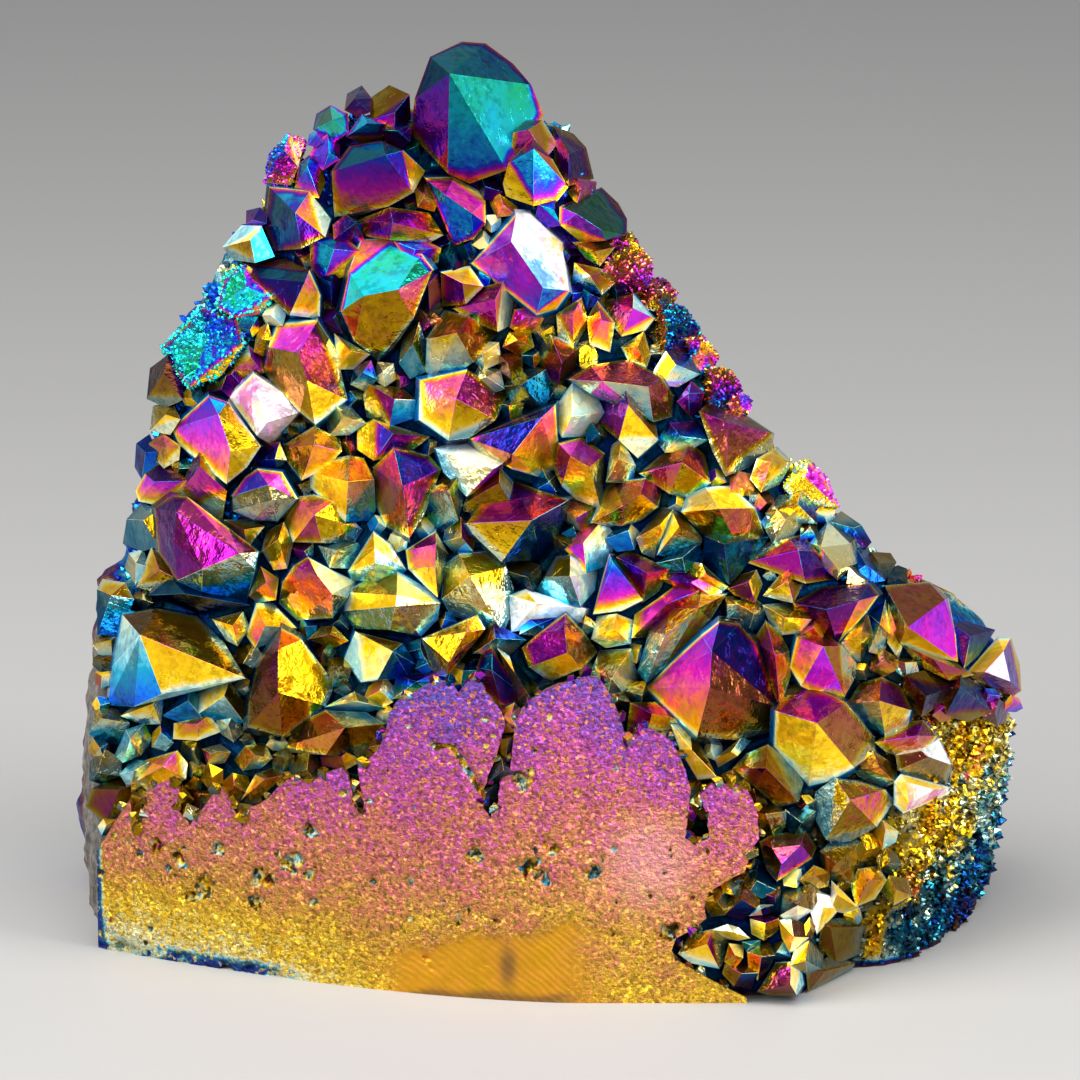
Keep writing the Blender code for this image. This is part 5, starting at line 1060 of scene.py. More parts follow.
def sectorOf(rim, tip, place):
    # The rim edge that a place lies behind, as seen from the tip.
    bearings = [math.atan2(v - tip[1], u - tip[0]) for u, v in rim]
    wanted = math.atan2(place[1] - tip[1], place[0] - tip[0])
    best, chosen = 9.0, 0
    for k, start in enumerate(bearings):
        span = (bearings[(k + 1) % len(rim)] - start + math.pi) % math.tau - math.pi
        ahead = (wanted - start + math.pi) % math.tau - math.pi
        miss = abs(ahead - span / 2) - abs(span / 2)
        if miss < best:
            best, chosen = miss, k
    return chosen


def facetTones(tones, rim, tip, size, brightness):
    # A function that gives the tones and brightness of a face from its seen middle.
    groups = [item for item in tones if item[-1] in "0123456789+"]
    if not groups:
        codes = [film[letter][0] for letter in tones[0][:4]]

        def bySide(place):
            share = smooth(crystalShape["lean"] * (place[0] - tip[0]) / size, -0.55, 0.55)
            top = codes[0] * (1 - share) + codes[2] * share
            return top, codes[1] * (1 - share) + codes[3] * share, brightness
        return bySide
    starts = {}
    for group in groups:
        starts[group[:-3]] = film[group[-3]][0], film[group[-2]][0], group[-1]
    corners = sorted(int(key) for key in starts if key != "t")

    def byFacet(place):
        if "t" in starts and math.dist(place, tip) < crystalShape["topShare"] * size:
            return starts["t"]
        sector = sectorOf(rim, tip, place)
        passed = [corner for corner in corners if corner <= sector]
        return starts[str(passed[-1] if passed else corners[-1])]
    return byFacet


def hullTriangles(places):
    # The hull's triangles as corner numbers, sorted, because Blender gives them in an order that varies.
    hull = bmesh.new()
    bmesh.ops.convex_hull(hull, input=[hull.verts.new(place) for place in places])
    hull.verts.index_update()
    triangles = []
    for face in hull.faces:
        triangles.append(fromLowest([vert.index for vert in face.verts]))
    hull.free()
    return sorted(triangles)


def addCrystal(mesh, layers, tones, rise, tips, rim, sink=0.0, level=7.0):
    shape = crystalShape
    middle = Vector((sum(u for u, _ in rim) / len(rim), sum(v for _, v in rim) / len(rim)))
    size = sum((Vector(point) - middle).length for point in rim) / len(rim)
    stand, root = shape["stand"] * size - sink, shape["root"] * size + shape["rootDepth"]
    spots = [(u, v, layerDepth(u, v) - rise - stand, rise) for u, v in tips]
    inner = [middle + (Vector(point) - middle) * shape["inset"] for point in rim]
    inner = [(point.x, point.y) for point in inner]
    depths = [layerDepth(u, v) - stand for u, v in inner]
    ridges = tuple(int(item[:-3]) for item in tones if item[-1] in "0123456789+" and item[0] != "t")
    if not ridges:
        ridges = ridgeCorners(inner, tips[0]) if len(tips) == 1 else ()
    if len(ridges) > 1:
        depths = facetDepths(inner, ridges, tips, [spot[2] for spot in spots], depths, rise)
    spots += [(u, v, depth, 0.0) for (u, v), depth in zip(inner, depths)]
    outer = max(smooth(sideways(*middle), *shape["outerSide"]), smooth(middle.y, *shape["outerTop"]))
    skirt = shape["skirt"] + (shape["outerSkirt"] - shape["skirt"]) * outer
    scale, more = shape["rootScale"]
    for scale, down in ((skirt, shape["skirtDepth"]), (scale + more * outer, root)):
        for (u, v), depth in zip(rim, depths):
            spot = middle + (Vector((u, v)) - middle) * scale
            spots.append((spot.x, spot.y, depth + down, -down))
    lowest, highest = min(v for _, v in rim), max(v for _, v in rim)
    tip = tuple(sum(values) / len(tips) for values in zip(*tips))
    most, smallest, largest = shape["smallLift"]
    lift = most * (1 - smooth(size, smallest, largest))
    places = []
    for u, v, y, _ in spots:
        place = toRow(fromView(u, v, y))
        place.z = max(place.z, shape["clearance"] * mm)
        places.append(place)
    triangles = hullTriangles(places)
    verts = {}
    for corner in sorted(set(itertools.chain(*triangles))):
        _, v, _, height = spots[corner]
        vert = mesh.verts.new(places[corner])
        vert[layers["height"]] = height + (lift if height >= 0 else 0.0)
        vert[layers["level"]] = min(max((v - lowest) / (highest - lowest), 0.0), 1.0)
        verts[corner] = vert
    before = set(mesh.faces)
    faces = [mesh.faces.new([verts[corner] for corner in triangle]) for triangle in triangles]
    for face in faces:
        face.normal_update()
    edges = list(dict.fromkeys(edge for face in faces for edge in face.edges))
    bmesh.ops.dissolve_limit(mesh, angle_limit=math.radians(shape["merge"]), verts=[], edges=edges)
    faces = [face for face in mesh.faces if face not in before]
    bmesh.ops.planar_faces(mesh, faces=faces, iterations=20, factor=0.5)
    tonesAt = facetTones(tones, rim, tip, size, level)
    rough = 1.0 if tones[-1].endswith("*") else 0.0
    for face in faces:
        centre = face.calc_center_median() / mm + Vector(viewpoint["origin"])
        top, bottom, brightness = tonesAt(toView(*centre))
        jitter = 0.015 * noise.noise(centre / 1.7)
        face[layers["top"]] = top + jitter
        face[layers["bottom"]] = bottom + jitter
        # Painted light and shade: each face's brightness digit, a plus as a painted white highlight.
        pale = brightness == "+"
        bright = 1.0 if pale else (float(brightness) / 9) ** shape["contrast"]
        varied = 1 + shape["variation"] * noise.noise(centre / 0.9 + Vector((3, 7, 1))) * (not pale)
        face[layers["shade"]] = shape["brightness"] * bright * varied
        face[layers["pale"]] = float(pale)
        face[layers["druzy"]] = rough


# Small crystals between the traced ones, with the tones they have in each region.
filler = {
    "cell": 0.35,
    "smallest": 0.75,
    "largest": 2.4,
    "largestRough": 1.25,
    "seed": 21,
    # Painted light and shade: brightness levels of the small crystals, as the table's digits.
    "brightness": (2.3, 8.6),
    "rimSpacing": 2.8,
    "rimTones": {
        "low": ("gyyg", "ygyt", "gtyg", "gggt"),
        "high": ("Bvmb", "bBvm", "gtmB", "vmBc", "yBvb"),
    },
    "rimBrightness": (1.5, 5.0),
    "rimSizes": (0.45, 1.0),
    "tipSpread": (0.4, -0.3, 0.5),  # of the size: to each side, down and up
    "notchTones": ("ygty", "gyyt", "ggyt", "ytgb", "gmyt"),
    # Share of small crystals painted white and bright, as highlights.
    "whiteShare": 0.07,
    "tones": {
        "crown": ("cBvB", "BvcB", "vmBv", "GccB", "BBct", "cvmB", "ccBv"),
        "middle": ("gtmr", "ygtt", "mvgt", "vBgt", "tbyg", "gmrg", "vpgt", "tbgt"),
        "low": ("gtyt", "ygtb", "tbyt", "gmgt", "ygbt", "gtgt"),
        "gold": ("ggyt", "gryg", "yggy", "gtyg", "yygt"),
        "teal": ("gtbt", "btyg", "tbgt", "tbtb", "ytbt"),
        "blue": ("ttbt", "tbtt", "ntbt", "tnbt", "btnn", "bttn"),
        "purple": ("pkpn", "pmbn", "npkb", "kpmn"),
        "lumps": ("ctGb", "tcBm", "Gcmt", "ccGt"),
        "strip": ("mgBm", "gmyB", "ymgc", "mgmy", "rgcB"),
    },
}


# Lowest and highest v of the notches in the sawn face's rim, at some u.
notchFloor = ((-58, 17), (-50, 18), (-35, 21), (-20, 23), (-9, 22), (5, 25), (17, 20), (24, 6), (30, 2))
notchTop = ((-58, 24), (-50, 25), (-35, 25), (-25, 27), (-16, 36), (-6, 38), (4, 34), (14, 30),
            (21, 15), (33, 12))


# Where the broken side begins, which has no small crystals: at each v, its u.
bareFrom = ((8, 37), (12, 38.5), (17, 43), (24, 41))


def fillerRegion(u, v, chance):
    if u > 33 and v < 40:
        across = u + (chance - 0.5) * 7
        if 50 < across < 60 and 6 < v < 17:
            return "purple"
        if v > 33 and u > 39:
            return "strip"
        return "gold" if across < 44 else "teal" if across < 51 else "blue"
    if v > 76 and u < -37:
        return "lumps"
    if v > 66 and u > edgeAt(seenRight, v) - 5:
        return "strip"
    if v > 88:
        return "crown"
    return "middle" if v > 50 else "low"


def smallCrystal(random, centreU, centreV, size, twist, reaches):
    # A six-sided rim round its middle, and its tip.
    start = random.uniform(0, math.tau)
    outline = []
    for corner in range(6):
        angle = start + math.tau * corner / 6 + random.uniform(-twist, twist)
        reach = size * random.uniform(*reaches)
        outline.append((centreU + reach * math.cos(angle), centreV + reach * math.sin(angle)))
    aside, down, up = filler["tipSpread"]
    tip = (centreU + random.uniform(-aside, aside) * size, centreV + random.uniform(down, up) * size)
    return outline, tip


def rimRows():
    # Small crystals that break the rim of the sawn face.
    random = np.random.default_rng(filler["seed"] + 1)
    rim = pairs(faceRim)
    for (u0, v0), (u1, v1) in zip(rim, rim[1:]):
        length = math.hypot(u1 - u0, v1 - v0)
        if max(v0, v1) < 2 or length < 0.3:
            continue
        for _ in range(round(length / filler["rimSpacing"] + random.random() - 0.3)):
            share = random.random()
            size = random.uniform(*filler["rimSizes"])
            side = random.uniform(-0.1, 0.5)
            centreU = u0 + (u1 - u0) * share - side * (v1 - v0) / length
            centreV = v0 + (v1 - v0) * share + side * (u1 - u0) / length
            if centreV < 1.5 or centreU < -55:
                continue
            outline, tip = smallCrystal(random, centreU, centreV, size, 0.25, (0.75, 1.25))
            sink = faceDepth(centreU) + random.uniform(0.1, 0.5) - layerDepth(centreU, centreV)
            tones = [random.choice(filler["rimTones"]["low" if centreU < -21 or centreU > 18 else "high"])]
            yield tones, size * 0.5, [tip], outline, sink, random.uniform(*filler["rimBrightness"])


def insidePolygon(u, v, polygon):
    inside = np.zeros(u.shape, bool)
    for (u0, v0), (u1, v1) in zip(polygon, polygon[1:] + polygon[:1]):
        if v0 != v1:
            crosses = (v0 > v) != (v1 > v)
            inside ^= crosses & (u < (u1 - u0) * (v - v0) / (v1 - v0) + u0)
    return inside


def distanceTo(u, v, polygon):
    nearest = np.full(u.shape, 99.0)
    for (u0, v0), (u1, v1) in zip(polygon, polygon[1:] + polygon[:1]):
        du, dv = u1 - u0, v1 - v0
        t = np.clip(((u - u0) * du + (v - v0) * dv) / (du * du + dv * dv + 1e-9), 0, 1)
        nearest = np.minimum(nearest, np.hypot(u - u0 - du * t, v - v0 - dv * t))
    return nearest


def fillerRows():
    # Circles packed into the gaps, the widest first.
    random = np.random.default_rng(filler["seed"])
    cell = filler["cell"]
    u, v = np.meshgrid(np.arange(-60, 60, cell), np.arange(2, 118, cell))
    left = np.interp(v, *zip(*seenLeft))
    right = np.interp(v, *zip(*seenRight))
    rim = pairs(faceRim)
    room = np.minimum(u - left, right - u) - 0.2
    room = np.minimum(room, 114 - v)
    roomFace = distanceTo(u, v, rim)
    roomFace[insidePolygon(u, v, rim)] = -1
    room = np.minimum(room, roomFace + 0.6)
    room[v < np.interp(u, *zip(*notchFloor))] = -1
    room[(u > np.interp(v, *zip(*bareFrom))) & (v < 36)] = -1
    room[(u < -55.3) & (v < 28)] = -1
    for _, _, _, outline in rowsOf(crystalRows):
        away = distanceTo(u, v, outline)
        away[insidePolygon(u, v, outline)] = -1
        room = np.minimum(room, away)
    rough = (u > 40) & (v < 38)
    cap = np.where(rough, filler["largestRough"], filler["largest"])
    shuffle = random.uniform(0, 0.35, u.shape)
    rows = []
    while True:
        best = np.argmax(np.minimum(room, cap) + shuffle * (room > filler["smallest"]))
        i, j = np.unravel_index(best, u.shape)
        radius = min(room[i, j], cap[i, j])
        if radius < filler["smallest"]:
            break
        centreU, centreV = u[i, j], v[i, j]
        room = np.minimum(room, np.hypot(u - centreU, v - centreV) - radius)
        region = filler["tones"][fillerRegion(centreU, centreV, random.random())]
        code = region[random.integers(len(region))]
        roughStrip = region is filler["tones"]["strip"] and bool(centreV > 60)
        size = radius * 1.35 + 0.15
        outline, tip = smallCrystal(random, centreU, centreV, size, 0.2, (0.82, 1.15))
        tones = [code + "*" * roughStrip]
        sink = 0.3 + 0.6 * random.random()
        if centreU < 33 and centreV < np.interp(centreU, *zip(*notchTop)):
            sink = faceDepth(centreU) + 1.4 - layerDepth(centreU, centreV)
            tones = [random.choice(filler["notchTones"])]
        level = random.uniform(*filler["brightness"])
        # Some are painted white and bright, as highlights.
        if random.random() < filler["whiteShare"]:
            tones, level = ["wyws"], 9.5
        rows.append((tones, size * random.uniform(0.7, 1.1), [tip], outline, sink, level))
    return rows


def makeCrystals():
    mesh = bmesh.new()
    layers = {name: mesh.verts.layers.float.new(name) for name in ("height", "level")}
    for name in ("top", "bottom", "shade", "pale", "druzy"):
        layers[name] = mesh.faces.layers.float.new(name)
    for row in rowsOf(crystalRows):
        addCrystal(mesh, layers, *row)
    small = fillerRows() + list(rimRows())
    for row in small:
        addCrystal(mesh, layers, *row)
    print("crystals:", len(small), "small ones between the traced ones")
    bmesh.ops.recalc_face_normals(mesh, faces=mesh.faces[:])
    piece = newPiece("druzy_crystals", mesh, crystalMaterial())
    bevel = piece.modifiers.new("edges", "BEVEL")
    bevel.width = crystalShape["bevel"] * mm
    bevel.segments = 1
    bevel.limit_method = "ANGLE"
    bevel.angle_limit = math.radians(crystalShape["bevelAngle"])
    # The bevel's own faces are told apart by a second slot, which then goes.
    piece.data.materials.append(piece.data.materials[0])
    bevel.material = 1
    finished(piece)
    data = piece.data
    slots = valuesOf(data.polygons, "material_index", np.int32)
    data.polygons.foreach_set("material_index", np.zeros_like(slots))
    data.materials.pop()
    ridge = slots == 1
    level, shade, top, bottom, rough = [valuesOf(data.attributes[name].data, "value")
                                        for name in ("level", "shade", "top", "bottom", "druzy")]
    # Painted highlight: the bevelled edges are brightened and their tone shifted.
    shade *= 1 + crystalShape["ridgeShine"] * ridge
    top += crystalShape["ridgeTone"] * ridge
    bottom += crystalShape["ridgeTone"] * ridge
    share = level[valuesOf(data.loops, "vertex_index", np.int32)]
    owner = np.repeat(np.arange(len(data.polygons)), valuesOf(data.polygons, "loop_total", np.int32))
    writeValues(data, "shade", "FACE", shade)
    writeValues(data, "coarse", "FACE", rough)
    writeValues(data, "film", "CORNER", bottom[owner] * (1 - share) + top[owner] * share)
    print("crystals:", len(data.polygons), "faces")
    return piece


# Sawn face

faceShape = {
    "step": 0.42,
    "height": (-2.0, 44.0),
    "right": 33.0,
    "ragged": 0.22,
    "pits": """-49 19.7 0.9 0.8, -51.3 18.6 0.6 0.6, -46.4 18.4 0.8 0.8, -45.8 17.2 0.5 0.6,
        -41.3 19.3 0.8 0.8, -32.5 17.3 1.1 1.0, -31.3 18.3 0.7 0.7, -30 21.5 0.9 0.7,
        -30 16 0.7 0.8, -29.4 12.6 0.5 0.6, -36.8 12.5 0.9 0.7, -43 14.5 1.3 1.2,
        -44.6 13.6 0.8 0.8, -36.5 16 1 0.9, -35 15.5 0.8 0.8, -47.5 17 0.6 0.5,
        -9.3 18.5 0.9 0.8, -2.6 17.1 1 0.9, -1.4 16.4 0.7 0.7, -0.5 15.6 0.7 0.6,
        5.4 16.3 0.9 0.8, 0.5 19 0.7 0.5, 15 8.8 1.1 1, -3.2 28 1 0.9, -4.2 28.2 0.6 0.7""",
    "smallPits": 90,
    # across and up, seen, then reach and depth of the small pits
    "smallPitRanges": ((-56, 24), (2, 36), (0.25, 0.55), (0.25, 0.5)),
    "crackDepth": 0.6,
    "crackWidth": 0.42,
    "cracks": "-14.5 32.2, -12 32, -11.4 31, -9.8 28.4, -8.6 26.4",
    "chipReach": 1.92,
    "chipTop": (0.2, 2.2),
    "chipRight": (-38, -30),
    "rimStep": 0.6,
    "grain": 0.05,
    "sharpAngle": 35,
    "palePatch": (12.5, 17.5, 5.5),  # middle and reach, seen
    "stainSpot": (-5.2, 4.6, 1.1, 2.6),
    "polishedTop": (8, 10),
    "seed": 5,
}

# The coating across the sawn face: at each u, its tone at some heights v.
faceTones = {
    -57: ((6, 0.49), (9.5, 0.505), (11.5, 0.545), (14, 0.59), (17, 0.63), (21, 0.67), (27, 0.7)),
    -45: ((4, 0.5), (6.5, 0.52), (9, 0.56), (13, 0.605), (16, 0.64), (19, 0.67), (25, 0.71)),
    -30: ((2, 0.55), (6, 0.585), (10, 0.615), (13, 0.645), (17, 0.67), (22, 0.705), (29, 0.76)),
    -12: ((0, 0.61), (10, 0.64), (15, 0.67), (22, 0.7), (29, 0.74), (34, 0.78), (41, 0.84)),
    3: ((0, 0.615), (12, 0.64), (17, 0.67), (25, 0.705), (31, 0.74), (37, 0.78), (42, 0.85)),
    15: ((0, 0.605), (8, 0.63), (13, 0.665), (20, 0.69), (27, 0.73), (33, 0.775), (36, 0.83)),
    26: ((0, 0.6), (8, 0.63), (14, 0.67), (20, 0.71), (28, 0.77)),
}


def raggedRim():
    rim = pairs(faceRim)
    points = []
    for (u0, v0), (u1, v1) in zip(rim, rim[1:] + rim[:1]):
        length = math.hypot(u1 - u0, v1 - v0)
        count = max(1, round(length / faceShape["rimStep"]))
        for i in range(count):
            t = i / count
            u, v = u0 + (u1 - u0) * t, v0 + (v1 - v0) * t
            shake = faceShape["ragged"] if v > 5 else 0.0
            where = Vector((u, v, 0)) / 0.7
            aside = shake * noise.noise(where)
            points.append((u + aside, v + shake * noise.noise(where + Vector((9, 4, 2)))))
    return points


def rimCutter():
    curve = bpy.data.curves.new("faceOutline", "CURVE")
    curve.dimensions = "2D"
    curve.fill_mode = "BOTH"
    curve.extrude = 60 * mm
    rim = raggedRim()
    spline = curve.splines.new("POLY")
    spline.points.add(len(rim) - 1)
    for point, (u, v) in zip(spline.points, rim):
        seen = fromView(u, v, faceDepth(u))
        point.co = (seen.x * mm, (seen.y * sinTilt + seen.z * cosTilt) * mm, 0, 1)
    spline.use_cyclic_u = True
    guide = bpy.data.objects.new("faceOutline", curve)
    guide.rotation_euler = (math.pi / 2 - viewpoint["tilt"], 0, 0)
    bpy.context.scene.collection.objects.link(guide)
    bpy.context.view_layer.update()
    graph = bpy.context.evaluated_depsgraph_get()
    data = bpy.data.meshes.new_from_object(guide.evaluated_get(graph))
    data.transform(guide.matrix_world)
    data.transform(Matrix.Translation(-Vector(viewpoint["origin"]) * mm))
    mesh = bmesh.new()
    mesh.from_mesh(data)
    bmesh.ops.remove_doubles(mesh, verts=mesh.verts[:], dist=1e-6)
    bmesh.ops.recalc_face_normals(mesh, faces=mesh.faces[:])
    bpy.data.objects.remove(guide)
    return newPiece("faceCutter", mesh)


def pitField(u, v):
    shape = faceShape
    random = np.random.default_rng(shape["seed"])
    rows = pairs(shape["pits"])
    for _ in range(shape["smallPits"]):
        rows.append(tuple(random.uniform(*limits) for limits in shape["smallPitRanges"]))
    depth = np.zeros_like(u)
    shake = np.array([noise.noise(Vector((a, b, 0)) / 0.9) for a, b in zip(u, v)])
    for pu, pv, radius, deep in rows:
        away = np.hypot(u - pu, v - pv) / radius + shake * 0.9
        depth = np.maximum(depth, deep * np.clip(1.15 - away**2, 0, 1))
    line = pairs(shape["cracks"])
    for (u0, v0), (u1, v1) in zip(line, line[1:]):
        along = np.array([u1 - u0, v1 - v0])
        t = np.clip(((u - u0) * along[0] + (v - v0) * along[1]) / (along @ along), 0, 1)
        away = np.hypot(u - u0 - along[0] * t, v - v0 - along[1] * t)
        width = shape["crackWidth"] + shake * 0.3
        depth = np.maximum(depth, shape["crackDepth"] * np.clip(1 - (away / width) ** 2, 0, 1))
    return depth


def inFixedOrder(data):
    # The cuts leave corners and faces in an order that varies from run to run, so both are sorted.
    places = [tuple(vert.co) for vert in data.vertices]
    order = sorted(range(len(places)), key=places.__getitem__)
    rank = {number: place for place, number in enumerate(order)}
    faces = []
    for polygon in data.polygons:
        faces.append(fromLowest([rank[number] for number in polygon.vertices]))
    data.clear_geometry()
    data.from_pydata([places[number] for number in order], [], sorted(faces))


def makeSawnFace():
    shape = faceShape
    low, high = shape["height"]
    columns = np.arange(body["faceLeft"], shape["right"], shape["step"])
    levels = np.arange(low, high, shape["step"])
    grid = [(x, z) for x in columns for z in levels]
    u, v = np.array([toView(x, faceDepth(x), z) for x, z in grid]).T
    pits = pitField(u, v)
    mesh = bmesh.new()
    verts = []
    for (x, z), pit in zip(grid, pits):
        chip = max(0.0, noise.noise(Vector((x, 0, z)) / 2.2) + 0.45 * noise.noise(Vector((x, 5, z)) / 0.8))
        chip *= shape["chipReach"] * (1 - smooth(z, *shape["chipTop"])) * (1 - smooth(x, *shape["chipRight"]))
        grain = shape["grain"] * noise.noise(Vector((x, 3, z)) / 0.7)
        verts.append(mesh.verts.new(toRow((x, faceDepth(x) + pit + chip + grain, z))))
    rows = len(levels)
    for i in range(len(columns) - 1):
        for j in range(rows - 1):
            a = i * rows + j
            mesh.faces.new((verts[a], verts[a + rows], verts[a + rows + 1], verts[a + 1]))
    border = [edge for edge in mesh.edges if edge.is_boundary]
    walls = bmesh.ops.extrude_edge_only(mesh, edges=border)["geom"]
    for vert in [item for item in walls if isinstance(item, bmesh.types.BMVert)]:
        vert.co.y += body["faceThickness"] * mm
    rim = [edge for edge in mesh.edges if edge.is_boundary]
    bmesh.ops.holes_fill(mesh, edges=rim, sides=0)
    bmesh.ops.recalc_face_normals(mesh, faces=mesh.faces[:])
    piece = newPiece("sawn_face", mesh, faceMaterial())
    cutter = rimCutter()
    block = bmesh.new()
    matrix = Matrix.Translation((0, 0, -0.05)) @ Matrix.Diagonal((0.3, 0.3, 0.1, 1))
    bmesh.ops.create_cube(block, size=1, matrix=matrix)
    underBase = newPiece("belowBase", block)
    addBoolean(piece, "INTERSECT", cutter)
    addBoolean(piece, "DIFFERENCE", underBase)
    finished(piece)
    bpy.data.objects.remove(cutter)
    bpy.data.objects.remove(underBase)
    data = piece.data
    inFixedOrder(data)
    data.materials.clear()
    data.materials.append(bpy.data.materials["auraSawnFace"])
    places = placesOf(data.vertices)
    u, v = toView(*places.T)
    across = np.array(sorted(faceTones))
    tones = np.array([np.interp(v, *zip(*faceTones[key])) for key in across])
    place = np.interp(u, across, np.arange(len(across)))
    below = np.clip(place.astype(int), 0, len(across) - 2)
    share = place - below
    each = np.arange(len(u))
    tone = tones[below, each] * (1 - share) + tones[below + 1, each] * share
    wide = noiseAll(places, 4.5, 2.2)
    fine = noiseAll(places, 1.1, 6.1)
    tone += wide * 0.03 + fine * 0.03
    writeValues(data, "pit", "POINT", np.clip(pitField(u, v) * 3 - 0.3, 0, 1))
    behindFace = places[:, 1] - np.array([faceDepth(x) for x in places[:, 0]])
    wall = smoothAll(behindFace, 1.2, 2.2)
    tone = tone * (1 - wall) + (0.4 + wide * 0.2) * wall
    chipped = (1 - smoothAll(places[:, 2], 0.4, 2.4)) * (1 - smoothAll(u, -38, -28))
    chipped = chipped * smoothAll(wide + fine, -0.5, 0.2)
    tone = tone * (1 - chipped) + 0.26 * chipped
    leftWall = 1 - smoothAll(places[:, 0] + wide * 0.5, -57.4, -56.6)
    wallTone = np.interp(behindFace + wide * 2, *zip(*leftBorder))
    tone = tone * (1 - leftWall) + wallTone * leftWall
    writeValues(data, "film", "POINT", np.clip(tone, 0, 1))
    midU, midV, reach = shape["palePatch"]
    patch = np.exp(-(((u - midU) / reach) ** 2 + ((v - midV) / reach) ** 2) ** 1.5)
    writeValues(data, "pale", "POINT", patch)
    ragged = wide * 1.6 + fine * 0.6
    polished = smoothAll(u + ragged, -22, -17) * (1 - smoothAll(u + ragged, 0, 9))
    polished = polished * (1 - smoothAll(v - 0.12 * u + ragged, *shape["polishedTop"]))
    writeValues(data, "polished", "POINT", polished)
    midU, midV, width, height = shape["stainSpot"]
    stain = np.exp(-(((u - midU) / width) ** 2 + ((v - midV + 0.4 * fine) / height) ** 2) ** 1.5)
    lowest = smoothAll(-v + 0.7 * wide, -1.6, -0.7) * smoothAll(u, -22, -16) * (1 - smoothAll(u, 0, 6))
    writeValues(data, "stain", "POINT", np.maximum(stain, lowest))
    for polygon in data.polygons:
        polygon.use_smooth = True
    data.set_sharp_from_angle(angle=math.radians(shape["sharpAngle"]))
    print("sawn face:", len(data.polygons), "faces")
    return piece


# Small crystals in the crevices and on the rough parts

druzy = {
    "spacing": 0.55,
    "density": 1700000.0,
    "smallest": 0.35,
    "largest": 1.0,
    "tilt": 0.6,
    "seed": 3,
}

# What differs for the finer grains on the rough crystals.
lumpGrains = {"spacing": 0.38, "density": 3.2e6, "seed": 8}
lumpScale = 0.6


def seedCrystal():
    # One small six-sided point, a unit across, standing on its origin.
    mesh = bmesh.new()
    rings = []
    for z, radius in ((-0.8, 0.42), (0.35, 0.46)):
        rings.append([mesh.verts.new((radius * math.cos(a), radius * math.sin(a), z))
                      for a in (math.radians(60 * i) for i in range(6))])
    tip = mesh.verts.new((0.06, -0.04, 0.95))
    for i in range(6):
        j = (i + 1) % 6
        mesh.faces.new((rings[0][i], rings[0][j], rings[1][j], rings[1][i]))
        mesh.faces.new((rings[1][i], rings[1][j], tip))
    mesh.faces.new(reversed(rings[0]))
    piece = newPiece("seedCrystal", mesh)
    piece.hide_render = True
    return piece


def druzyTree(material):
    tree = bpy.data.node_groups.new("microDruzy", "GeometryNodeTree")
    kinds = {"Geometry": "Geometry", "Seed Crystal": "Object", "Spacing": "Float", "Density": "Float",
             "Smallest": "Float", "Largest": "Float", "Tilt": "Float", "Seed": "Int"}
    for name, kind in kinds.items():
        tree.interface.new_socket(name, in_out="INPUT", socket_type="NodeSocket" + kind)
    tree.interface.new_socket("Geometry", in_out="OUTPUT", socket_type="NodeSocketGeometry")

    def node(kind, links=None, **settings):
        made = tree.nodes.new(kind)
        for key, value in settings.items():
            setattr(made, key, value)
        for key, value in (links or {}).items():
            if isinstance(value, bpy.types.NodeSocket):
                tree.links.new(value, made.inputs[key])
            else:
                made.inputs[key].default_value = value
        return made

    given = node("NodeGroupInput").outputs
    factor = node("GeometryNodeInputNamedAttribute", {"Name": "druzy"}, data_type="FLOAT")
    size = node("GeometryNodeInputNamedAttribute", {"Name": "grain"}, data_type="FLOAT")
    points = node("GeometryNodeDistributePointsOnFaces",
                  {"Mesh": given["Geometry"], "Distance Min": given["Spacing"],
                   "Density Max": given["Density"], "Density Factor": factor.outputs["Attribute"],
                   "Seed": given["Seed"]},
                  distribute_method="POISSON")
    seed = node("GeometryNodeObjectInfo", {"Object": given["Seed Crystal"]}, transform_space="ORIGINAL")
    lean = node("ShaderNodeMath", {0: given["Tilt"], 1: -1.0}, operation="MULTIPLY")
    spin = node("FunctionNodeRandomValue", {"Seed": given["Seed"]}, data_type="FLOAT_VECTOR")
    low = node("ShaderNodeCombineXYZ", {"X": lean.outputs[0], "Y": lean.outputs[0], "Z": 0.0})
    high = node("ShaderNodeCombineXYZ", {"X": given["Tilt"], "Y": given["Tilt"], "Z": math.tau})
    tree.links.new(low.outputs[0], spin.inputs["Min"])
    tree.links.new(high.outputs[0], spin.inputs["Max"])
    turn = node("FunctionNodeEulerToRotation", {0: spin.outputs[0]})
    rotation = node("FunctionNodeRotateRotation",
                    {"Rotation": points.outputs["Rotation"], "Rotate By": turn.outputs[0]},
                    rotation_space="LOCAL")
    scale = node("FunctionNodeRandomValue", {"Seed": given["Seed"]}, data_type="FLOAT")
    tree.links.new(given["Smallest"], scale.inputs[2])
    tree.links.new(given["Largest"], scale.inputs[3])
    sized = node("ShaderNodeMath", {0: scale.outputs[1], 1: size.outputs["Attribute"]}, operation="MULTIPLY")
    placed = node("GeometryNodeInstanceOnPoints",
                  {"Points": points.outputs["Points"], "Instance": seed.outputs["Geometry"],
                   "Rotation": rotation.outputs[0], "Scale": sized.outputs[0]})
    real = node("GeometryNodeRealizeInstances", {"Geometry": placed.outputs[0]})
    done = node("GeometryNodeSetMaterial", {"Geometry": real.outputs[0], "Material": material})
    node("NodeGroupOutput", {"Geometry": done.outputs[0]})
    return tree


grainLook = {
    "patchScale": 700.0,
    "speckScale": 2200.0,
    "glintScale": 1300.0,
    "patchiness": 0.24,
    "fineness": 0.06,
    "glints": (0.5, 4.0),  # painted glints: brightness of the darkest and the brightest grains
    "roughness": (0.16, 0.32),
    "metal": 0.95,
    "bumpScale": 1800.0,
    "bump": 0.4,
    "bumpDepth": 0.0002,
}


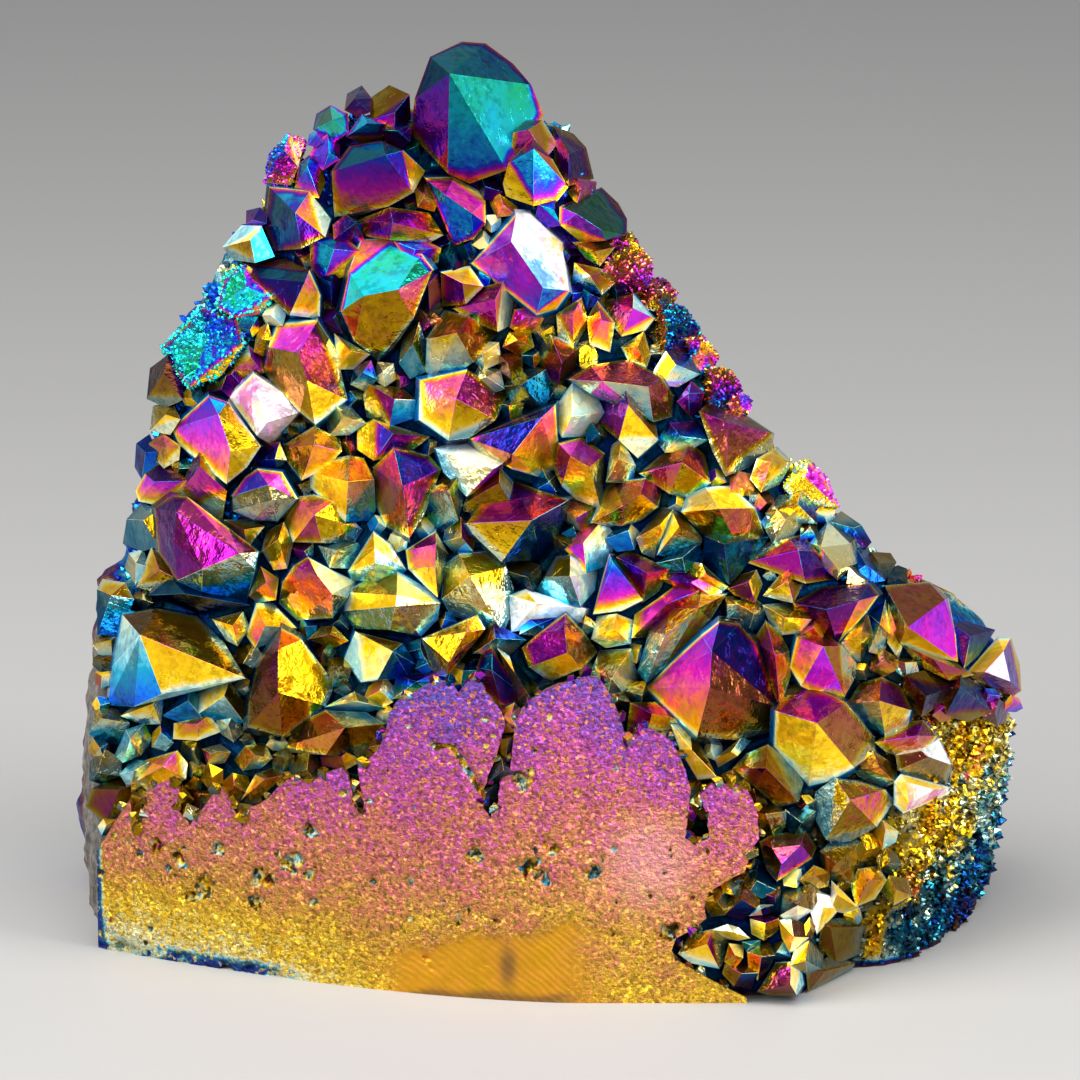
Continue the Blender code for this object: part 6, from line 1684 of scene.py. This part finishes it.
def grainMaterial():
    look = grainLook
    graph = Graph("auraDruzy")
    patches = graph.noise(look["patchScale"], 2.0) - 0.5
    specks = graph.noise(look["speckScale"], 2.0) - 0.5
    tone = graph.attribute("film") + patches * look["patchiness"] + specks * look["fineness"]
    # Painted glints and shade: grains brightened at random, times the shade attribute of what they grow on,
    # which holds painted shade.
    glints = graph.ease(graph.noise(look["glintScale"], 1.0), 0.38, 0.62, *look["glints"])
    colour = graph.shaded(filmColour(graph, tone), graph.attribute("shade") * glints)
    graph.set(Base_Color=colour, Metallic=look["metal"],
              Roughness=graph.ease(patches, -0.2, 0.2, *look["roughness"]),
              Normal=graph.bump(graph.noise(look["bumpScale"], 2.0), look["bump"], look["bumpDepth"]))
    return graph.material


def growDruzy(name, ground, tree, seed, changes=None):
    piece = ground.copy()
    piece.data = ground.data.copy()
    piece.name = name
    bpy.context.scene.collection.objects.link(piece)
    modifier = piece.modifiers.new("druzy", "NODES")
    modifier.node_group = tree
    values = {**druzy, **(changes or {})}
    wanted = {"Seed Crystal": seed, "Spacing": values["spacing"] * mm, "Density": values["density"],
              "Smallest": values["smallest"] * mm, "Largest": values["largest"] * mm,
              "Tilt": values["tilt"], "Seed": values["seed"]}
    for item in tree.interface.items_tree:
        if item.item_type == "SOCKET" and item.in_out == "INPUT" and item.name in wanted:
            modifier[item.identifier] = wanted[item.name]
    finished(piece)
    for polygon in piece.data.polygons:
        polygon.use_smooth = False
    print(name + ":", len(piece.data.polygons), "faces")
    return piece


def uncovered(places, crystals):
    # Share of each place that no crystal stands in front of.
    mesh = bmesh.new()
    mesh.from_mesh(crystals.data)
    tree = BVHTree.FromBMesh(mesh)
    mesh.free()
    towards = Vector((0, -cosTilt, sinTilt))
    free = np.ones(len(places))
    for number, place in enumerate(places):
        start = toRow(place) + towards * 0.3 * mm
        if tree.ray_cast(start, towards, 14 * mm)[0] is not None:
            free[number] = 0.0
    return free


# Heights below which no grain grows, since the sawn face stands in front: at each u, its v.
behindFace = ((-58, 20), (-45, 18), (-30, 22), (-15, 30), (5, 30), (15, 20), (30, 6))


def makeDruzy(matrix, crystals):
    places = placesOf(matrix.data.vertices)
    x, y, z = places.T
    u, v = toView(x, y, z)
    normals = rowsIn(matrix.data.vertices, "normal")
    facing = smoothAll(-normals[:, 1], -0.1, 0.3)
    ahead = 1 - smoothAll(y, 46, 54)
    lumps = (u < -38) & (v > 74) & (v < 90)
    sides = smoothAll(np.abs(normals[:, 0]), 0.3, 0.6) * smoothAll(z, 42, 48)
    broken = smoothAll(u, 32, 35) * (1 - smoothAll(v, 38, 42)) * smoothAll(z, 0.4, 1.0)
    chance = facing * lumps * uncovered(places, crystals)
    chance = np.maximum(chance, np.maximum(sides * 0.4, broken)) * ahead
    chance[(x < 30) & (v < np.interp(u, *zip(*behindFace)))] = 0.0
    chance[(x < -56.5) & (z < 46)] = 0.0
    writeValues(matrix.data, "druzy", "POINT", chance)
    grain = 1.0 + 0.9 * sides + 0.8 * smoothAll(u, 42, 54) * smoothAll(v, 10, 18)
    writeValues(matrix.data, "grain", "POINT", grain)
    seed = seedCrystal()
    tree = druzyTree(grainMaterial())
    grown = [growDruzy("druzy_grains", matrix, tree, seed)]
    values = valuesOf(crystals.data.attributes["druzy"].data, "value")
    across, _, up = placesOf(crystals.data.polygons, "center").T
    values *= (up > 70) | (across < -36) | (up > 50) & (across > 15)
    writeValues(crystals.data, "druzy", "FACE", values)
    writeValues(crystals.data, "grain", "FACE", np.full(len(values), lumpScale))
    grown.append(growDruzy("druzy_lumps", crystals, tree, seed, lumpGrains))
    bpy.data.objects.remove(seed)
    return grown


# Stage

stageSetup = {
    "floorSize": 9.0,
    "floorColour": (166, 165, 163),
    "floorRoughness": 0.6,
    "world": (0.24, 0.245, 0.26),
    "target": (0, 0, 0.05),
    # name: where from (azimuth, elevation), distance, width, height, power
    "lights": {
        "keyLeft": (-58, 34, 0.75, 0.55, 0.7, 6.8),
        "rimRight": (62, 22, 0.75, 0.35, 0.8, 7.6),
        "top": (-10, 72, 0.8, 0.8, 0.5, 6.0),
        "front": (8, 12, 1.6, 0.5, 0.5, 3.2),
    },
}


def makeStage():
    mesh = bmesh.new()
    bmesh.ops.create_grid(mesh, x_segments=1, y_segments=1, size=stageSetup["floorSize"] / 2)
    graph = Graph("floorPaper")
    graph.set(Base_Color=linear(stageSetup["floorColour"]), Roughness=stageSetup["floorRoughness"])
    floor = newPiece("floor", mesh, graph.material)
    world = bpy.data.worlds.new("studio")
    world.use_nodes = True
    world.node_tree.nodes["Background"].inputs["Color"].default_value = (*stageSetup["world"], 1)
    bpy.context.scene.world = world
    target = Vector(stageSetup["target"])
    for name, (azimuth, elevation, distance, width, height, power) in stageSetup["lights"].items():
        a, e = math.radians(azimuth), math.radians(elevation)
        towards = Vector((math.sin(a) * math.cos(e), -math.cos(a) * math.cos(e), math.sin(e)))
        light = bpy.data.lights.new(name, "AREA")
        light.shape = "RECTANGLE"
        light.size, light.size_y = width, height
        light.energy = power
        lamp = bpy.data.objects.new(name, light)
        lamp.location = target + towards * distance
        lamp.rotation_euler = towards.to_track_quat("Z", "Y").to_euler()
        bpy.context.scene.collection.objects.link(lamp)


def makeCamera():
    view = viewpoint
    midU, midV = view["middle"]
    aim = Vector((midU, midV * sinTilt, midV * cosTilt)) - Vector((0, cosTilt, -sinTilt)) * view["distance"]
    camera = bpy.data.cameras.new("camera")
    camera.lens = camera.sensor_width * view["distance"] / view["seenWidth"]
    camera.clip_start, camera.clip_end = 0.05, 20.0
    holder = bpy.data.objects.new("camera", camera)
    holder.location = toRow(aim)
    holder.rotation_euler = (math.pi / 2 - view["tilt"], 0, 0)
    bpy.context.scene.collection.objects.link(holder)
    bpy.context.scene.camera = holder
    bpy.context.scene.view_settings.view_transform = "Standard"


makeCamera()
makeStage()
matrix = makeMatrix()
matrixFilm(matrix)
print("matrix:", len(matrix.data.polygons), "faces")
crystals = makeCrystals()
sawnFace = makeSawnFace()
grains = makeDruzy(matrix, crystals)
for piece in (matrix, crystals, sawnFace, *grains):
    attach(piece, "root")
    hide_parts("druzy_specimen")
